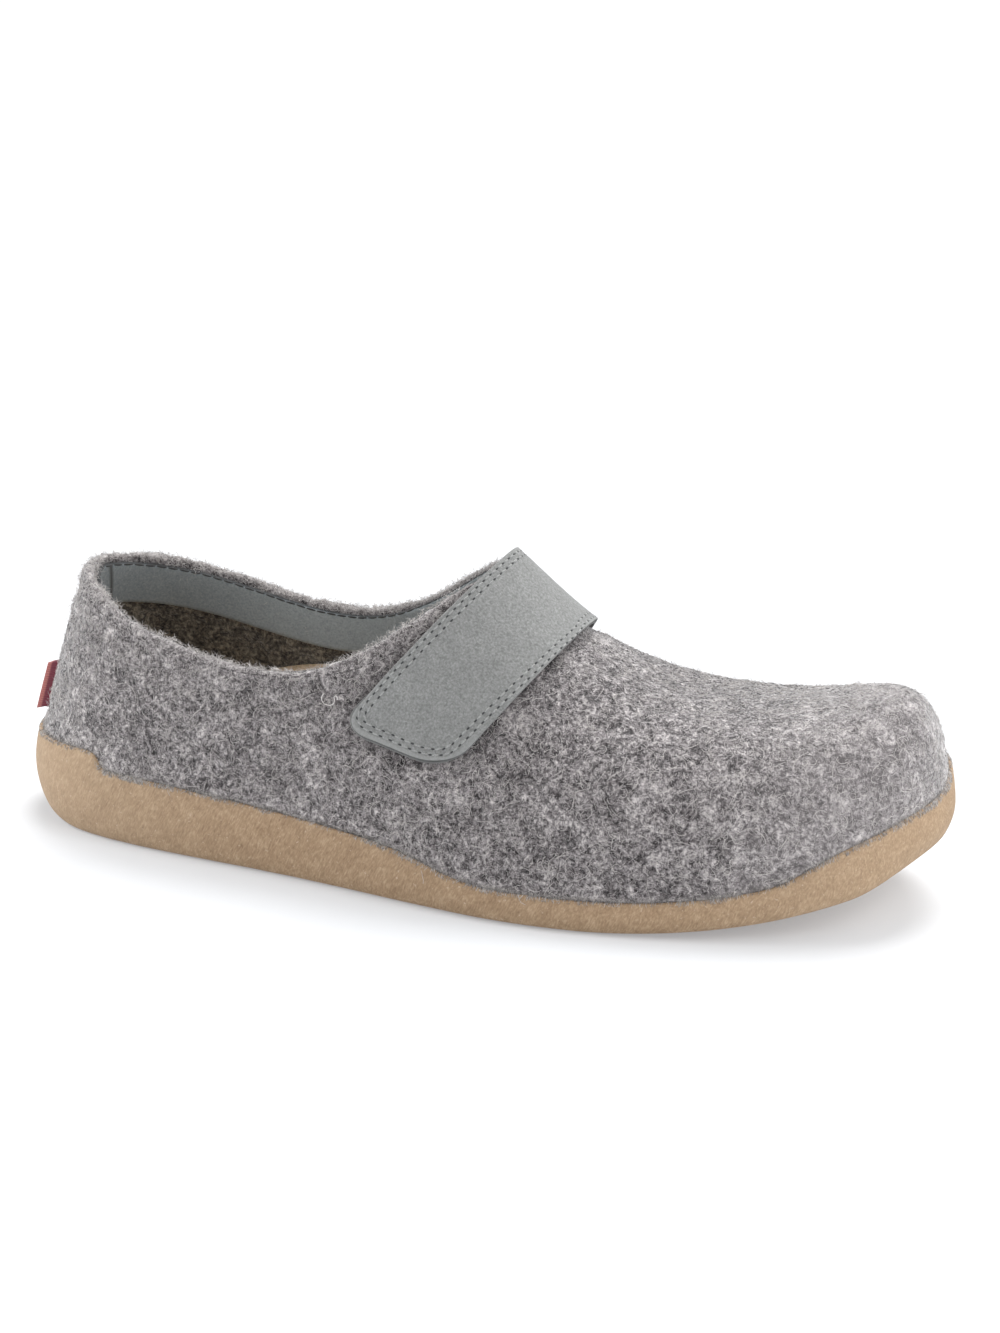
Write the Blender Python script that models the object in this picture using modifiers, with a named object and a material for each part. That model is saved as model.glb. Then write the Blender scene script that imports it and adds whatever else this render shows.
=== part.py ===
"""Wool felt slipper for the right foot, as an assembly of the pieces that a maker puts together.

Metres, +Z up. +X runs from heel to toe, +Y to the inner side of the foot and -Y to the outer side.
The origin is on the floor, in the middle of the sole's length and width.
"""

import math
from collections import namedtuple

import bmesh
import bpy
import numpy as np
from mathutils import Vector

for leftover in list(bpy.data.objects):
    bpy.data.objects.remove(leftover)
PARTS = bpy.data.collections.new("wool_slipper")
bpy.context.scene.collection.children.link(PARTS)

MM = 0.001

# Driving sizes of the last and the sole.
SOLE_LENGTH = 270 * MM
BALL_WIDTH = 96 * MM
INSTEP_HEIGHT = 88 * MM
HEEL_HEIGHT = 73 * MM

# Walls and gaps.
FELT = 3.4 * MM
SEAM_GAP = 0.3 * MM
LEDGE = 2.4 * MM
RIM_LIP = 1.0 * MM
RIM_ROUND = 0.3 * MM
STRAP_THICKNESS = 2.0 * MM
FACING_THICKNESS = 1.2 * MM

# Floor line of the sole: flat under heel and forefoot, hollow between, rising at both ends.
TOE_SPRING = 16 * MM
TOE_BREAK = 0.66
TOE_CURL = 2.2
HEEL_ROLL = 8.5 * MM
HEEL_BREAK = 0.10
ARCH_RISE = 1.5 * MM
ARCH_START = 0.30
ARCH_END = 0.56

# Rubber under the foot, at the heel and under the ball.
SEAT_HEEL = 12 * MM
SEAT_BALL = 5 * MM
WEDGE_START = 0.18
WEDGE_END = 0.62

# The upper stands straight in the cup of the sole before its wall leans in.
SKIRT_HEEL = 9 * MM
SKIRT_BALL = 3.5 * MM

# Ends of the last's centre line, as shares of the length: the sections fan out around them.
HEEL_POLE = 0.15
TOE_POLE = 0.92

# The collar meets the centre line at the throat.
THROAT = 0.54

# The instep strap lies square to the slope of the instep.
STRAP_WIDTH = 29 * MM
STRAP_SLOPE = math.radians(39.5)
STRAP_MIDDLE = 0.578
STRAP_REACH_OUT = 68 * MM
STRAP_REACH_IN = 72 * MM
STRAP_END_SKEW = 0.10
STRAP_REAR_CORNER = 7 * MM
STRAP_FRONT_CORNER = 10 * MM

# The suede facing inside the collar: its drop below the felt's edge and its width, at heel and throat.
FACING_DROP_HEEL = 1.9 * MM
FACING_DROP_THROAT = 0.7 * MM
FACING_WIDTH_HEEL = 12.8 * MM
FACING_WIDTH_THROAT = 11.2 * MM
FACING_END = 0.52

# The footbed inside the upper.
BED_HEEL = 5 * MM
BED_TOE = 3.5 * MM
BED_CUP = 4 * MM
BED_CUP_END = 0.45
BED_DISH = 3.4
BED_ARCH = 26.5 * MM
BED_ARCH_START = 0.02
BED_ARCH_END = 0.66

# The ribbon tab on the back of the heel.
TAB_LOW = 25 * MM
TAB_HIGH = 39.3 * MM
TAB_REACH = 5.0 * MM
TAB_FLARE = 0.9 * MM
TAB_THICKNESS = 1.6 * MM

# Mesh resolution.
COLLAR_STATIONS = 24
VAMP_STATIONS = 22
THROAT_CROWDING = 1.4
WALL_STEPS = 13
SOLE_STATIONS = 44
HEEL_STEP_STATIONS = (0.118, 0.126, 0.133)
CROSS_STEPS = 4
BED_STEPS = 8
BED_EDGE_STEPS = 3
FACING_STATIONS = 22
FACING_STEPS = 3
STRAP_STATIONS = 22
STRAP_STEPS = 7
STRAP_SAMPLES = 181
STRAP_SWING = 1.45
CORNER_STEPS = 5
TAB_STEPS = 5
FOLD_STEPS = 5
BISECTIONS = 40
OUTLINE_SAMPLES = 400
OUTLINE_WRAP = 4
OUTLINE_STEP = 1e-4
SLOPE_STEP = 1e-3
ROUNDING = 1e-9
WELD = 1e-5
SHARP_EDGE = math.radians(35)

OUTER, INNER = -1, 1

Material = namedtuple("Material", "name colour roughness")
WOOL = Material("grey_wool_felt", (0.26, 0.25, 0.25), 0.95)
RUBBER = Material("tan_crepe_rubber", (0.50, 0.36, 0.21), 0.75)
FOOTBED = Material("tan_suede_footbed", (0.72, 0.56, 0.38), 0.9)
FACING_SUEDE = Material("grey_facing_suede", (0.16, 0.16, 0.165), 0.9)
STRAP_SUEDE = Material("grey_strap_suede", (0.30, 0.31, 0.30), 0.9)
RIBBON = Material("red_ribbon", (0.30, 0.05, 0.06), 0.8)

OutlinePoint = namedtuple("OutlinePoint", "place along across")
# The widest outline of the sole, from the heel along the outer side to the toe and back.
# along is a share of SOLE_LENGTH, across a share of BALL_WIDTH.
SOLE_OUTLINE = (
    OutlinePoint("heel back", 0.000, 0.000),
    OutlinePoint("heel corner outside", 0.045, -0.250),
    OutlinePoint("heel outside", 0.160, -0.375),
    OutlinePoint("waist outside", 0.370, -0.435),
    OutlinePoint("ball outside", 0.590, -0.513),
    OutlinePoint("little toe", 0.740, -0.470),
    OutlinePoint("toes outside", 0.880, -0.340),
    OutlinePoint("toe front outside", 0.967, -0.150),
    OutlinePoint("toe tip", 1.000, 0.100),
    OutlinePoint("big toe front", 0.966, 0.325),
    OutlinePoint("big toe", 0.865, 0.450),
    OutlinePoint("ball inside", 0.710, 0.487),
    OutlinePoint("waist inside", 0.440, 0.370),
    OutlinePoint("heel inside", 0.170, 0.360),
    OutlinePoint("heel corner inside", 0.045, 0.250),
)
TOE_TIP = [row.place for row in SOLE_OUTLINE].index("toe tip")

LastSection = namedtuple("LastSection", "place along ridge shift full_out full_in lean_out lean_in")
# Sections of the last. ridge is the height of the centre line as a share of INSTEP_HEIGHT, shift its
# offset to the inner side as a share of BALL_WIDTH, full the squareness of the section (2 is an
# ellipse), and lean the share of the half width by which the wall leans in as a straight line.
LAST_SECTIONS = (
    LastSection("heel", 0.15, 1.25, 0.00, 2.0, 2.0, 0.49, 0.49),
    LastSection("ankle", 0.34, 1.23, 0.00, 1.9, 1.9, 0.20, 0.16),
    LastSection("throat", 0.54, 0.985, 0.02, 1.9, 2.0, 0.13, 0.09),
    LastSection("instep", 0.62, 0.765, 0.03, 2.0, 2.1, 0.08, 0.05),
    LastSection("vamp", 0.70, 0.647, 0.05, 2.3, 2.2, 0.02, 0.02),
    LastSection("toe dip", 0.79, 0.613, 0.09, 2.6, 2.5, 0.00, 0.00),
    LastSection("toe", 0.92, 0.672, 0.15, 3.1, 3.1, 0.00, 0.00),
)

CollarPoint = namedtuple("CollarPoint", "place along outer inner")
# Height of the collar above the floor, on the outer and on the inner side, as shares of HEEL_HEIGHT.
# The last row is the throat, where the collar meets the centre line.
COLLAR = (
    CollarPoint("heel back", 0.15, 1.000, 1.000),
    CollarPoint("heel side", 0.20, 0.920, 0.965),
    CollarPoint("fall", 0.26, 0.843, 0.915),
    CollarPoint("low", 0.36, 0.778, 0.812),
    CollarPoint("rise", 0.44, 0.853, 0.828),
    CollarPoint("below the strap", 0.49, 1.005, 0.970),
)

RimPoint = namedtuple("RimPoint", "place along height")
# Height of the rubber's upper edge in metres, less the toe spring: a heel cup, a falling wedge
# and a toe bumper.
RIM = (
    RimPoint("heel back", 0.00, 22.8 * MM),
    RimPoint("heel cup", 0.115, 25.0 * MM),
    RimPoint("heel step", 0.137, 20.6 * MM),
    RimPoint("wedge", 0.25, 19.8 * MM),
    RimPoint("waist", 0.46, 15.6 * MM),
    RimPoint("ball", 0.59, 8.8 * MM),
    RimPoint("tread line", 0.80, 8.8 * MM),
    RimPoint("bumper foot", 0.86, 9.6 * MM),
    RimPoint("bumper", 0.925, 14.7 * MM),
    RimPoint("toe tip", 1.00, 17.5 * MM),
)

# The bumper is higher in front of the big toe. Shares of BALL_WIDTH from the sole's middle line and of
# SOLE_LENGTH, between which it reaches its full rise.
BIG_TOE_RISE = 7.5 * MM
BIG_TOE_ACROSS = (0.05, 0.27)
BIG_TOE_ALONG = (0.70, 0.90)

SidewallRing = namedtuple("SidewallRing", "place height inset")
# Profile of the rubber wall: height as a share of the wall, inset from the widest outline in metres.
SIDEWALL = (
    SidewallRing("shoulder", 0.86, 0.8 * MM),
    SidewallRing("belly", 0.50, 0.0 * MM),
    SidewallRing("lower wall", 0.20, 0.5 * MM),
    SidewallRing("turn", 0.05, 1.5 * MM),
    SidewallRing("floor edge", 0.00, 3.0 * MM),
)


def cubic_through(keys, values):
    """A natural cubic spline through values at increasing keys, as a function of the key."""
    keys, values = np.asarray(keys, float), np.asarray(values, float)
    gaps = np.diff(keys)
    slopes = np.diff(values, axis=0) / gaps[:, None]
    system, pull = np.eye(len(keys)), np.zeros_like(values)
    for i in range(1, len(keys) - 1):
        system[i, i - 1 : i + 2] = gaps[i - 1], 2 * (gaps[i - 1] + gaps[i]), gaps[i]
        pull[i] = 6 * (slopes[i] - slopes[i - 1])
    bends = np.linalg.solve(system, pull)

    def at(key):
        i = min(max(int(np.searchsorted(keys, key)) - 1, 0), len(gaps) - 1)
        before, after, gap = keys[i + 1] - key, key - keys[i], gaps[i]
        return (
            (bends[i] * before**3 + bends[i + 1] * after**3) / (6 * gap)
            + (values[i] / gap - bends[i] * gap / 6) * before
            + (values[i + 1] / gap - bends[i + 1] * gap / 6) * after
        )

    return at


def steady_through(keys, values):
    """A smooth curve through values at increasing keys that never overshoots a row."""
    keys, values = np.asarray(keys, float), np.asarray(values, float)
    gaps, slopes = np.diff(keys), np.diff(values) / np.diff(keys)
    tangents = np.zeros_like(values)
    tangents[0], tangents[-1] = slopes[0], slopes[-1]
    for i in range(1, len(keys) - 1):
        if slopes[i - 1] * slopes[i] > 0:
            tangents[i] = 2 / (1 / slopes[i - 1] + 1 / slopes[i])

    def at(key):
        key = min(max(key, keys[0]), keys[-1])
        i = min(max(int(np.searchsorted(keys, key)) - 1, 0), len(gaps) - 1)
        t = (key - keys[i]) / gaps[i]
        return (
            values[i] * (1 + 2 * t) * (1 - t) ** 2
            + values[i + 1] * t * t * (3 - 2 * t)
            + gaps[i] * t * (1 - t) * (tangents[i] * (1 - t) - tangents[i + 1] * t)
        )

    return at


def ease(share):
    """0 below 0, 1 above 1, and a smooth rise between."""
    t = min(max(share, 0.0), 1.0)
    return t * t * (3 - 2 * t)


def closed_outline():
    """The sole's outline as a function of a key, and the keys of heel, toe and heel again."""
    points = np.array([(p.along * SOLE_LENGTH, p.across * BALL_WIDTH) for p in SOLE_OUTLINE])
    padded = np.vstack([points[-OUTLINE_WRAP:], points, points[: OUTLINE_WRAP + 1]])
    chords = np.sqrt(np.linalg.norm(np.diff(padded, axis=0), axis=1))
    keys = np.concatenate([[0], np.cumsum(chords)])
    heel, toe, end = keys[[OUTLINE_WRAP, OUTLINE_WRAP + TOE_TIP, OUTLINE_WRAP + len(points)]]
    return cubic_through(keys, padded), heel, toe, end


OUTLINE_AT, HEEL_KEY, TOE_KEY, END_KEY = closed_outline()


def outline(side, q, inset=0.0):
    """Plan point of the sole's outline at share q from heel back to toe tip, moved in by inset."""
    start = HEEL_KEY if side == OUTER else END_KEY
    key = start + q * (TOE_KEY - start)
    dx, dy = OUTLINE_AT(key + OUTLINE_STEP) - OUTLINE_AT(key - OUTLINE_STEP)
    size = math.hypot(dx, dy)
    x, y = OUTLINE_AT(key)
    return x - inset * dy / size, y + inset * dx / size


def toe_lift(x):
    """How far the toe spring lifts the sole at x from the heel."""
    return TOE_SPRING * max(0.0, (x / SOLE_LENGTH - TOE_BREAK) / (1 - TOE_BREAK)) ** TOE_CURL


def floor_line(x, inward):
    """Height of the sole's underside at x from the heel. inward is 0 on the outer side, 1 on the inner."""
    share = x / SOLE_LENGTH
    heel = max(0.0, (HEEL_BREAK - share) / HEEL_BREAK)
    hollow = min(max((share - ARCH_START) / (ARCH_END - ARCH_START), 0.0), 1.0)
    return toe_lift(x) + HEEL_ROLL * heel**2 + ARCH_RISE * inward * math.sin(math.pi * hollow) ** 2


def wedge(x, at_heel, at_ball):
    """A height that falls from the heel to the ball, on top of the toe spring."""
    share = ease((x / SOLE_LENGTH - WEDGE_START) / (WEDGE_END - WEDGE_START))
    return toe_lift(x) + at_heel + (at_ball - at_heel) * share


def seat(x):
    """Height of the top of the rubber under the foot at x from the heel."""
    return wedge(x, SEAT_HEEL, SEAT_BALL)


RIM_AT = steady_through([p.along for p in RIM], [p.height for p in RIM])


def between(share, limits):
    """How far a share has come between two limits, from 0 to 1, with a smooth rise."""
    return ease((share - limits[0]) / (limits[1] - limits[0]))


def rim(x, y):
    """Height of the rubber's upper edge at x from the heel and y from the middle line."""
    big_toe = between(y / BALL_WIDTH, BIG_TOE_ACROSS) * between(x / SOLE_LENGTH, BIG_TOE_ALONG)
    return toe_lift(x) + RIM_AT(x / SOLE_LENGTH) + BIG_TOE_RISE * big_toe


SECTION_KEYS = [s.along for s in LAST_SECTIONS]
RIDGE_AT = cubic_through(
    SECTION_KEYS, [[s.ridge * INSTEP_HEIGHT, s.shift * BALL_WIDTH] for s in LAST_SECTIONS]
)
SHAPE_AT = {
    OUTER: cubic_through(SECTION_KEYS, [[s.full_out, s.lean_out] for s in LAST_SECTIONS]),
    INNER: cubic_through(SECTION_KEYS, [[s.full_in, s.lean_in] for s in LAST_SECTIONS]),
}
THROAT_HEIGHT = RIDGE_AT(THROAT)[0]
COLLAR_KEYS = [p.along for p in COLLAR] + [THROAT]
COLLAR_AT = {
    OUTER: cubic_through(COLLAR_KEYS, [[p.outer * HEEL_HEIGHT] for p in COLLAR] + [[THROAT_HEIGHT]]),
    INNER: cubic_through(COLLAR_KEYS, [[p.inner * HEEL_HEIGHT] for p in COLLAR] + [[THROAT_HEIGHT]]),
}


def collar_height(side, station):
    """Height of the collar over a station of the centre line."""
    return COLLAR_AT[side](station)[0]


def ridge_share(q):
    """Station on the centre line that the wall curve at q runs up to, as a share of the length."""
    middle = (outline(OUTER, q)[0] + outline(INNER, q)[0]) / 2
    return HEEL_POLE + (TOE_POLE - HEEL_POLE) * middle / SOLE_LENGTH


def foot_of_wall(side, q):
    """Where the upper's wall begins to lean in, above its straight skirt."""
    x, y = outline(side, q, LEDGE)
    return np.array([x, y, wedge(x, SEAT_HEEL + SKIRT_HEEL, SEAT_BALL + SKIRT_BALL)])


def skin(side, q, turn):
    """Point of the upper's outside. turn runs from 0 at the sole to a quarter at the centre line."""
    station = ridge_share(q)
    height, shift = RIDGE_AT(station)
    full, lean = SHAPE_AT[side](station)
    foot = foot_of_wall(side, q)
    top = np.array([station * SOLE_LENGTH, shift, height])
    rise = max(math.sin(turn), 0.0) ** (2 / full)
    inward = lean * rise + (1 - lean) * (1 - max(math.cos(turn), 0.0) ** (2 / full))
    return foot + (top - foot) * np.array([inward, inward, rise])


def turn_at_height(side, q, z):
    """The turn at which the wall curve at q reaches height z."""
    station = ridge_share(q)
    foot, height = foot_of_wall(side, q)[2], RIDGE_AT(station)[0]
    rise = min(max((z - foot) / (height - foot), 0.0), 1.0)
    return math.asin(rise ** (SHAPE_AT[side](station)[0] / 2))


def collar_turn(side, q):
    """The turn at which the wall curve at q ends: at the collar, or past the throat at the centre line."""
    station = ridge_share(q)
    if station >= THROAT - ROUNDING:
        return math.pi / 2
    return turn_at_height(side, q, collar_height(side, station))


def skin_normal(side, q, turn):
    """Outward normal of the upper's outside. On the centre line it is the mean of both sides."""
    if turn > math.pi / 2 - SLOPE_STEP:
        below = turn - SLOPE_STEP
        return (wall_normal(OUTER, q, below) + wall_normal(INNER, q, below)) / 2
    return wall_normal(side, q, turn)


def wall_normal(side, q, turn):
    """Outward normal of one wall, level with the outline at heel and toe, where the walls meet."""
    upper, lower = min(turn + SLOPE_STEP, math.pi / 2), max(turn - SLOPE_STEP, 0.0)
    up = skin(side, q, upper) - skin(side, q, lower)
    if SLOPE_STEP < q < 1 - SLOPE_STEP:
        along = skin(side, q + SLOPE_STEP, turn) - skin(side, q - SLOPE_STEP, turn)
    else:
        key = HEEL_KEY if q < 0.5 else TOE_KEY
        dx, dy = OUTLINE_AT(key + SLOPE_STEP) - OUTLINE_AT(key - SLOPE_STEP)
        along = np.array([dx, dy, 0.0]) * -side
    normal = np.cross(along, up) * -side
    return normal / np.linalg.norm(normal)


def below_skin(side, q, turn, depth):
    """Point at the given depth under the upper's outside, or above it where depth is negative."""
    return skin(side, q, turn) - depth * skin_normal(side, q, turn)


def wall_at(side, q, z, depth):
    """Point of the upper's wall at height z, at a depth under its outside, on the skirt or above it."""
    if z > foot_of_wall(side, q)[2]:
        return below_skin(side, q, turn_at_height(side, q, z), depth)
    x, y = outline(side, q, LEDGE + depth)
    return np.array([x, y, z])


def q_of_ridge(station):
    """The share q whose wall curve runs up to a station of the centre line."""
    low, high = 0.0, 1.0
    for _ in range(BISECTIONS):
        middle = (low + high) / 2
        low, high = (middle, high) if ridge_share(middle) < station else (low, middle)
    return (low + high) / 2


THROAT_Q = q_of_ridge(THROAT)
EDGE = [OUTLINE_AT(key) for key in np.linspace(HEEL_KEY, END_KEY, OUTLINE_SAMPLES)]
LOWEST, HIGHEST = np.min(EDGE, axis=0), np.max(EDGE, axis=0)
TAB_FOLD = wall_at(OUTER, 0.0, TAB_LOW, -SEAM_GAP)[0] - TAB_REACH - TAB_FLARE
MIDDLE = np.array([TAB_FOLD + HIGHEST[0], LOWEST[1] + HIGHEST[1], 0.0]) / 2


def to_frame(point):
    """From a place measured from the heel to the part's own frame."""
    return Vector(point - MIDDLE)


def stations(first, last, count, power=1.0):
    """Shares from first to last, drawn closer towards the last where power is above 1."""
    return [first + (last - first) * (1 - (1 - i / count) ** power) for i in range(count + 1)]


def new_part(name, bm, material):
    """One named object with its own material, shaded smooth up to a sharp edge."""
    bmesh.ops.remove_doubles(bm, verts=bm.verts, dist=WELD)
    bmesh.ops.recalc_face_normals(bm, faces=bm.faces)
    mesh = bpy.data.meshes.new(name)
    bm.to_mesh(mesh)
    bm.free()
    mesh.shade_smooth()
    mesh.set_sharp_from_angle(angle=SHARP_EDGE)
    obj = bpy.data.objects.new(name, mesh)
    shader = bpy.data.materials.new(material.name)
    shader.use_nodes = True
    surface = shader.node_tree.nodes["Principled BSDF"]
    surface.inputs["Base Color"].default_value = (*material.colour, 1)
    surface.inputs["Roughness"].default_value = material.roughness
    mesh.materials.append(shader)
    PARTS.objects.link(obj)
    return obj


def add_loft(bm, loops, closed):
    """Quads between one row of points and the next. A closed row also joins its last point to the first."""
    rows = [[bm.verts.new(to_frame(p)) for p in loop] for loop in loops]
    for row, after in zip(rows, rows[1:]):
        for i in range(len(row) if closed else len(row) - 1):
            j = (i + 1) % len(row)
            bm.faces.new((row[i], row[j], after[j], after[i]))
    return rows


def build_upper():
    """Felt shell: one wall on each side, welded at heel, toe and centre line, with a real thickness."""
    before = stations(0.0, THROAT_Q, COLLAR_STATIONS, THROAT_CROWDING)
    after = stations(THROAT_Q, 1.0, VAMP_STATIONS)
    bm = bmesh.new()
    for side in (OUTER, INNER):
        walls = []
        for q in before + after[1:]:
            top = collar_turn(side, q)
            x, y, _ = foot_of_wall(side, q)
            skirt = np.array([x, y, seat(x) + SEAM_GAP])
            rise = [skin(side, q, top * i / WALL_STEPS) for i in range(WALL_STEPS + 1)]
            walls.append([skirt] + rise)
        add_loft(bm, walls, closed=False)
    upper = new_part("upper", bm, WOOL)
    wall = upper.modifiers.new("felt", "SOLIDIFY")
    wall.thickness = FELT
    wall.offset = -1
    wall.use_even_offset = True
    return upper


def sole_rings(side, q):
    """Points of the rubber wall from the seat over the rim down to the floor edge."""
    x, y = outline(side, q, LEDGE - SEAM_GAP)
    top = rim(x, y)
    skirt = min(foot_of_wall(side, q)[2], top - RIM_LIP)
    rings = [np.array([x, y, seat(x)]), np.array([x, y, skirt])]
    rings.append(wall_at(side, q, top, -SEAM_GAP))
    rings.append(wall_at(side, q, top - RIM_ROUND, -SEAM_GAP - RIM_LIP))
    for ring in SIDEWALL:
        x, y = outline(side, q, ring.inset)
        low = floor_line(x, (side + 1) / 2)
        rings.append(np.array([x, y, low + ring.height * (rim(x, y) - low)]))
    return rings


def across(start, end, height, count):
    """Points between two ends of a section, at the height that a function gives for x and the share."""
    points = []
    for i in range(1, count):
        x, y, _ = start + (end - start) * i / count
        points.append(np.array([x, y, height(x, i / count)]))
    return points


def build_outsole():
    """Rubber cup sole: rounded wall with a rim round the felt, and a seat inside it."""
    bm = bmesh.new()
    loops = []
    heel_step = [q_of_ridge(HEEL_POLE + (TOE_POLE - HEEL_POLE) * share) for share in HEEL_STEP_STATIONS]
    for q in sorted(stations(0.0, 1.0, SOLE_STATIONS) + heel_step):
        outer, inner = sole_rings(OUTER, q), sole_rings(INNER, q)
        tread = across(outer[-1], inner[-1], floor_line, CROSS_STEPS)
        bed = across(inner[0], outer[0], lambda x, _: seat(x), CROSS_STEPS)
        loops.append(outer + tread + inner[::-1] + bed)
    add_loft(bm, loops, closed=True)
    return new_part("outsole", bm, RUBBER)


def bed_edge(side, q):
    """Side of the footbed, from the seat up along the inside of the felt."""
    depth = FELT + SEAM_GAP
    x, y = outline(side, q, LEDGE + depth)
    share = x / SOLE_LENGTH
    cup = BED_CUP * (1 - ease(share / BED_CUP_END))
    hollow = min(max((share - BED_ARCH_START) / (BED_ARCH_END - BED_ARCH_START), 0.0), 1.0)
    arch = BED_ARCH * math.sin(math.pi * hollow) ** 2 if side == INNER else 0.0
    heights = np.linspace(seat(x) + SEAM_GAP, bed_height(x) + cup + arch, BED_EDGE_STEPS + 1)
    return [wall_at(side, q, z, depth) for z in heights]


def bed_height(x):
    """Height of the middle of the footbed."""
    return seat(x) + SEAM_GAP + BED_HEEL + (BED_TOE - BED_HEEL) * ease(x / SOLE_LENGTH)


def build_insole():
    """Footbed with a heel cup and an arch that rises along the inner side."""
    bm = bmesh.new()
    loops = []
    for q in stations(0.0, 1.0, SOLE_STATIONS):
        outer, inner = bed_edge(OUTER, q), bed_edge(INNER, q)
        under = across(outer[0], inner[0], lambda x, _: seat(x) + SEAM_GAP, CROSS_STEPS)
        top = []
        for i in range(1, BED_STEPS):
            share = i / BED_STEPS
            x, y, z = inner[-1] + (outer[-1] - inner[-1]) * share
            dish = abs(2 * share - 1) ** BED_DISH
            top.append(np.array([x, y, bed_height(x) + (z - bed_height(x)) * dish]))
        loops.append(under + inner + top + outer[::-1])
    add_loft(bm, loops, closed=True)
    return new_part("insole", bm, FOOTBED)


def build_facing():
    """Suede band inside the collar, round the heel from one side of the throat to the other."""
    last = q_of_ridge(FACING_END)
    walk = [(OUTER, q) for q in stations(last, 0.0, FACING_STATIONS)]
    walk += [(INNER, q) for q in stations(0.0, last, FACING_STATIONS)[1:]]
    near, far = FELT + SEAM_GAP, FELT + SEAM_GAP + FACING_THICKNESS
    bm = bmesh.new()
    loops = []
    for side, q in walk:
        share = q / last
        drop = FACING_DROP_HEEL + (FACING_DROP_THROAT - FACING_DROP_HEEL) * share
        width = FACING_WIDTH_HEEL + (FACING_WIDTH_THROAT - FACING_WIDTH_HEEL) * share
        top = collar_height(side, ridge_share(q)) - drop
        heights = np.linspace(top, top - width, FACING_STEPS + 1)
        turns = [turn_at_height(side, q, z) for z in heights]
        face = [below_skin(side, q, turn, near) for turn in turns]
        back = [below_skin(side, q, turn, far) for turn in turns]
        loops.append(face + back[::-1])
    rows = add_loft(bm, loops, closed=True)
    bm.faces.new(rows[0])
    bm.faces.new(rows[-1])
    return new_part("collar_facing", bm, FACING_SUEDE)


def strap_station(side, turn, offset):
    """The share q at which a wall turn crosses a plane square to the instep, at an offset along it."""
    middle_x, middle_z = STRAP_MIDDLE * SOLE_LENGTH, RIDGE_AT(STRAP_MIDDLE)[0]
    wanted = middle_x * math.cos(STRAP_SLOPE) - middle_z * math.sin(STRAP_SLOPE) + offset
    low, high = 0.0, 1.0
    for _ in range(BISECTIONS):
        middle = (low + high) / 2
        x, _, z = skin(side, middle, turn)
        reached = x * math.cos(STRAP_SLOPE) - z * math.sin(STRAP_SLOPE)
        low, high = (middle, high) if reached < wanted else (low, middle)
    return (low + high) / 2


def over_instep(swing):
    """Side and wall turn for a swing over the instep: 0 on the centre line, negative outside it."""
    return (OUTER if swing < 0 else INNER), math.pi / 2 - abs(swing)


def strap_swing():
    """A function from length along the strap's middle, measured from the centre line, to the swing."""
    swings = np.linspace(-STRAP_SWING, STRAP_SWING, STRAP_SAMPLES)
    points = []
    for swing in swings:
        side, turn = over_instep(swing)
        points.append(skin(side, strap_station(side, turn, 0.0), turn))
    lengths = np.concatenate([[0], np.cumsum(np.linalg.norm(np.diff(points, axis=0), axis=1))])
    lengths -= lengths[len(lengths) // 2]
    return lambda length: float(np.interp(length, lengths, swings))


def corner_cut(distance, radius):
    """How far a rounded corner draws in the edge at a distance from the end."""
    short = max(radius - max(distance, 0.0), 0.0)
    return radius - math.sqrt(radius**2 - short**2)


def build_strap():
    """Suede strap over the instep, sewn down at the inner side, with a rounded end on the outer side."""
    swing_at = strap_swing()
    angles = [math.pi / 2 * i / CORNER_STEPS for i in range(CORNER_STEPS)]
    round_end = [STRAP_FRONT_CORNER * (1 - math.cos(angle)) for angle in angles]
    low, high = -STRAP_REACH_OUT, STRAP_REACH_IN
    middle = np.linspace(low + STRAP_FRONT_CORNER, high - STRAP_FRONT_CORNER, STRAP_STATIONS)
    lengths = [low + d for d in round_end] + list(middle) + [high - d for d in reversed(round_end)]
    bm = bmesh.new()
    loops = []
    for length in lengths:
        from_end = min(length - low, high - length)
        rear = -STRAP_WIDTH / 2 + corner_cut(from_end, STRAP_REAR_CORNER)
        front = STRAP_WIDTH / 2 - corner_cut(from_end, STRAP_FRONT_CORNER)
        skew = STRAP_END_SKEW * (1 - ease((length - low) / STRAP_REACH_OUT))
        under, over = [], []
        for i in range(STRAP_STEPS + 1):
            offset = rear + (front - rear) * i / STRAP_STEPS
            side, turn = over_instep(swing_at(length + skew * offset))
            q = strap_station(side, turn, offset)
            under.append(below_skin(side, q, turn, -SEAM_GAP))
            over.append(below_skin(side, q, turn, -SEAM_GAP - STRAP_THICKNESS))
        loops.append(under + over[::-1])
    rows = add_loft(bm, loops, closed=True)
    bm.faces.new(rows[0])
    bm.faces.new(rows[-1])
    return new_part("strap", bm, STRAP_SUEDE)


def build_tab():
    """Folded ribbon standing off the back seam of the heel, with its fold to the rear."""
    half = TAB_THICKNESS / 2
    bm = bmesh.new()
    loops = []
    for i in range(TAB_STEPS + 1):
        z = TAB_LOW + (TAB_HIGH - TAB_LOW) * i / TAB_STEPS
        x, y, _ = wall_at(OUTER, 0.0, z, -SEAM_GAP)
        fold = x - TAB_REACH - TAB_FLARE * (1 - i / TAB_STEPS) + half
        loop = [np.array([x, y - half, z])]
        for j in range(FOLD_STEPS + 1):
            angle = math.pi * j / FOLD_STEPS
            loop.append(np.array([fold - half * math.sin(angle), y - half * math.cos(angle), z]))
        loop.append(np.array([x, y + half, z]))
        loops.append(loop)
    rows = add_loft(bm, loops, closed=True)
    bm.faces.new(rows[0])
    bm.faces.new(rows[-1])
    return new_part("heel_tab", bm, RIBBON)


build_outsole()
build_upper()
build_insole()
build_facing()
build_strap()
build_tab()
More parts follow.
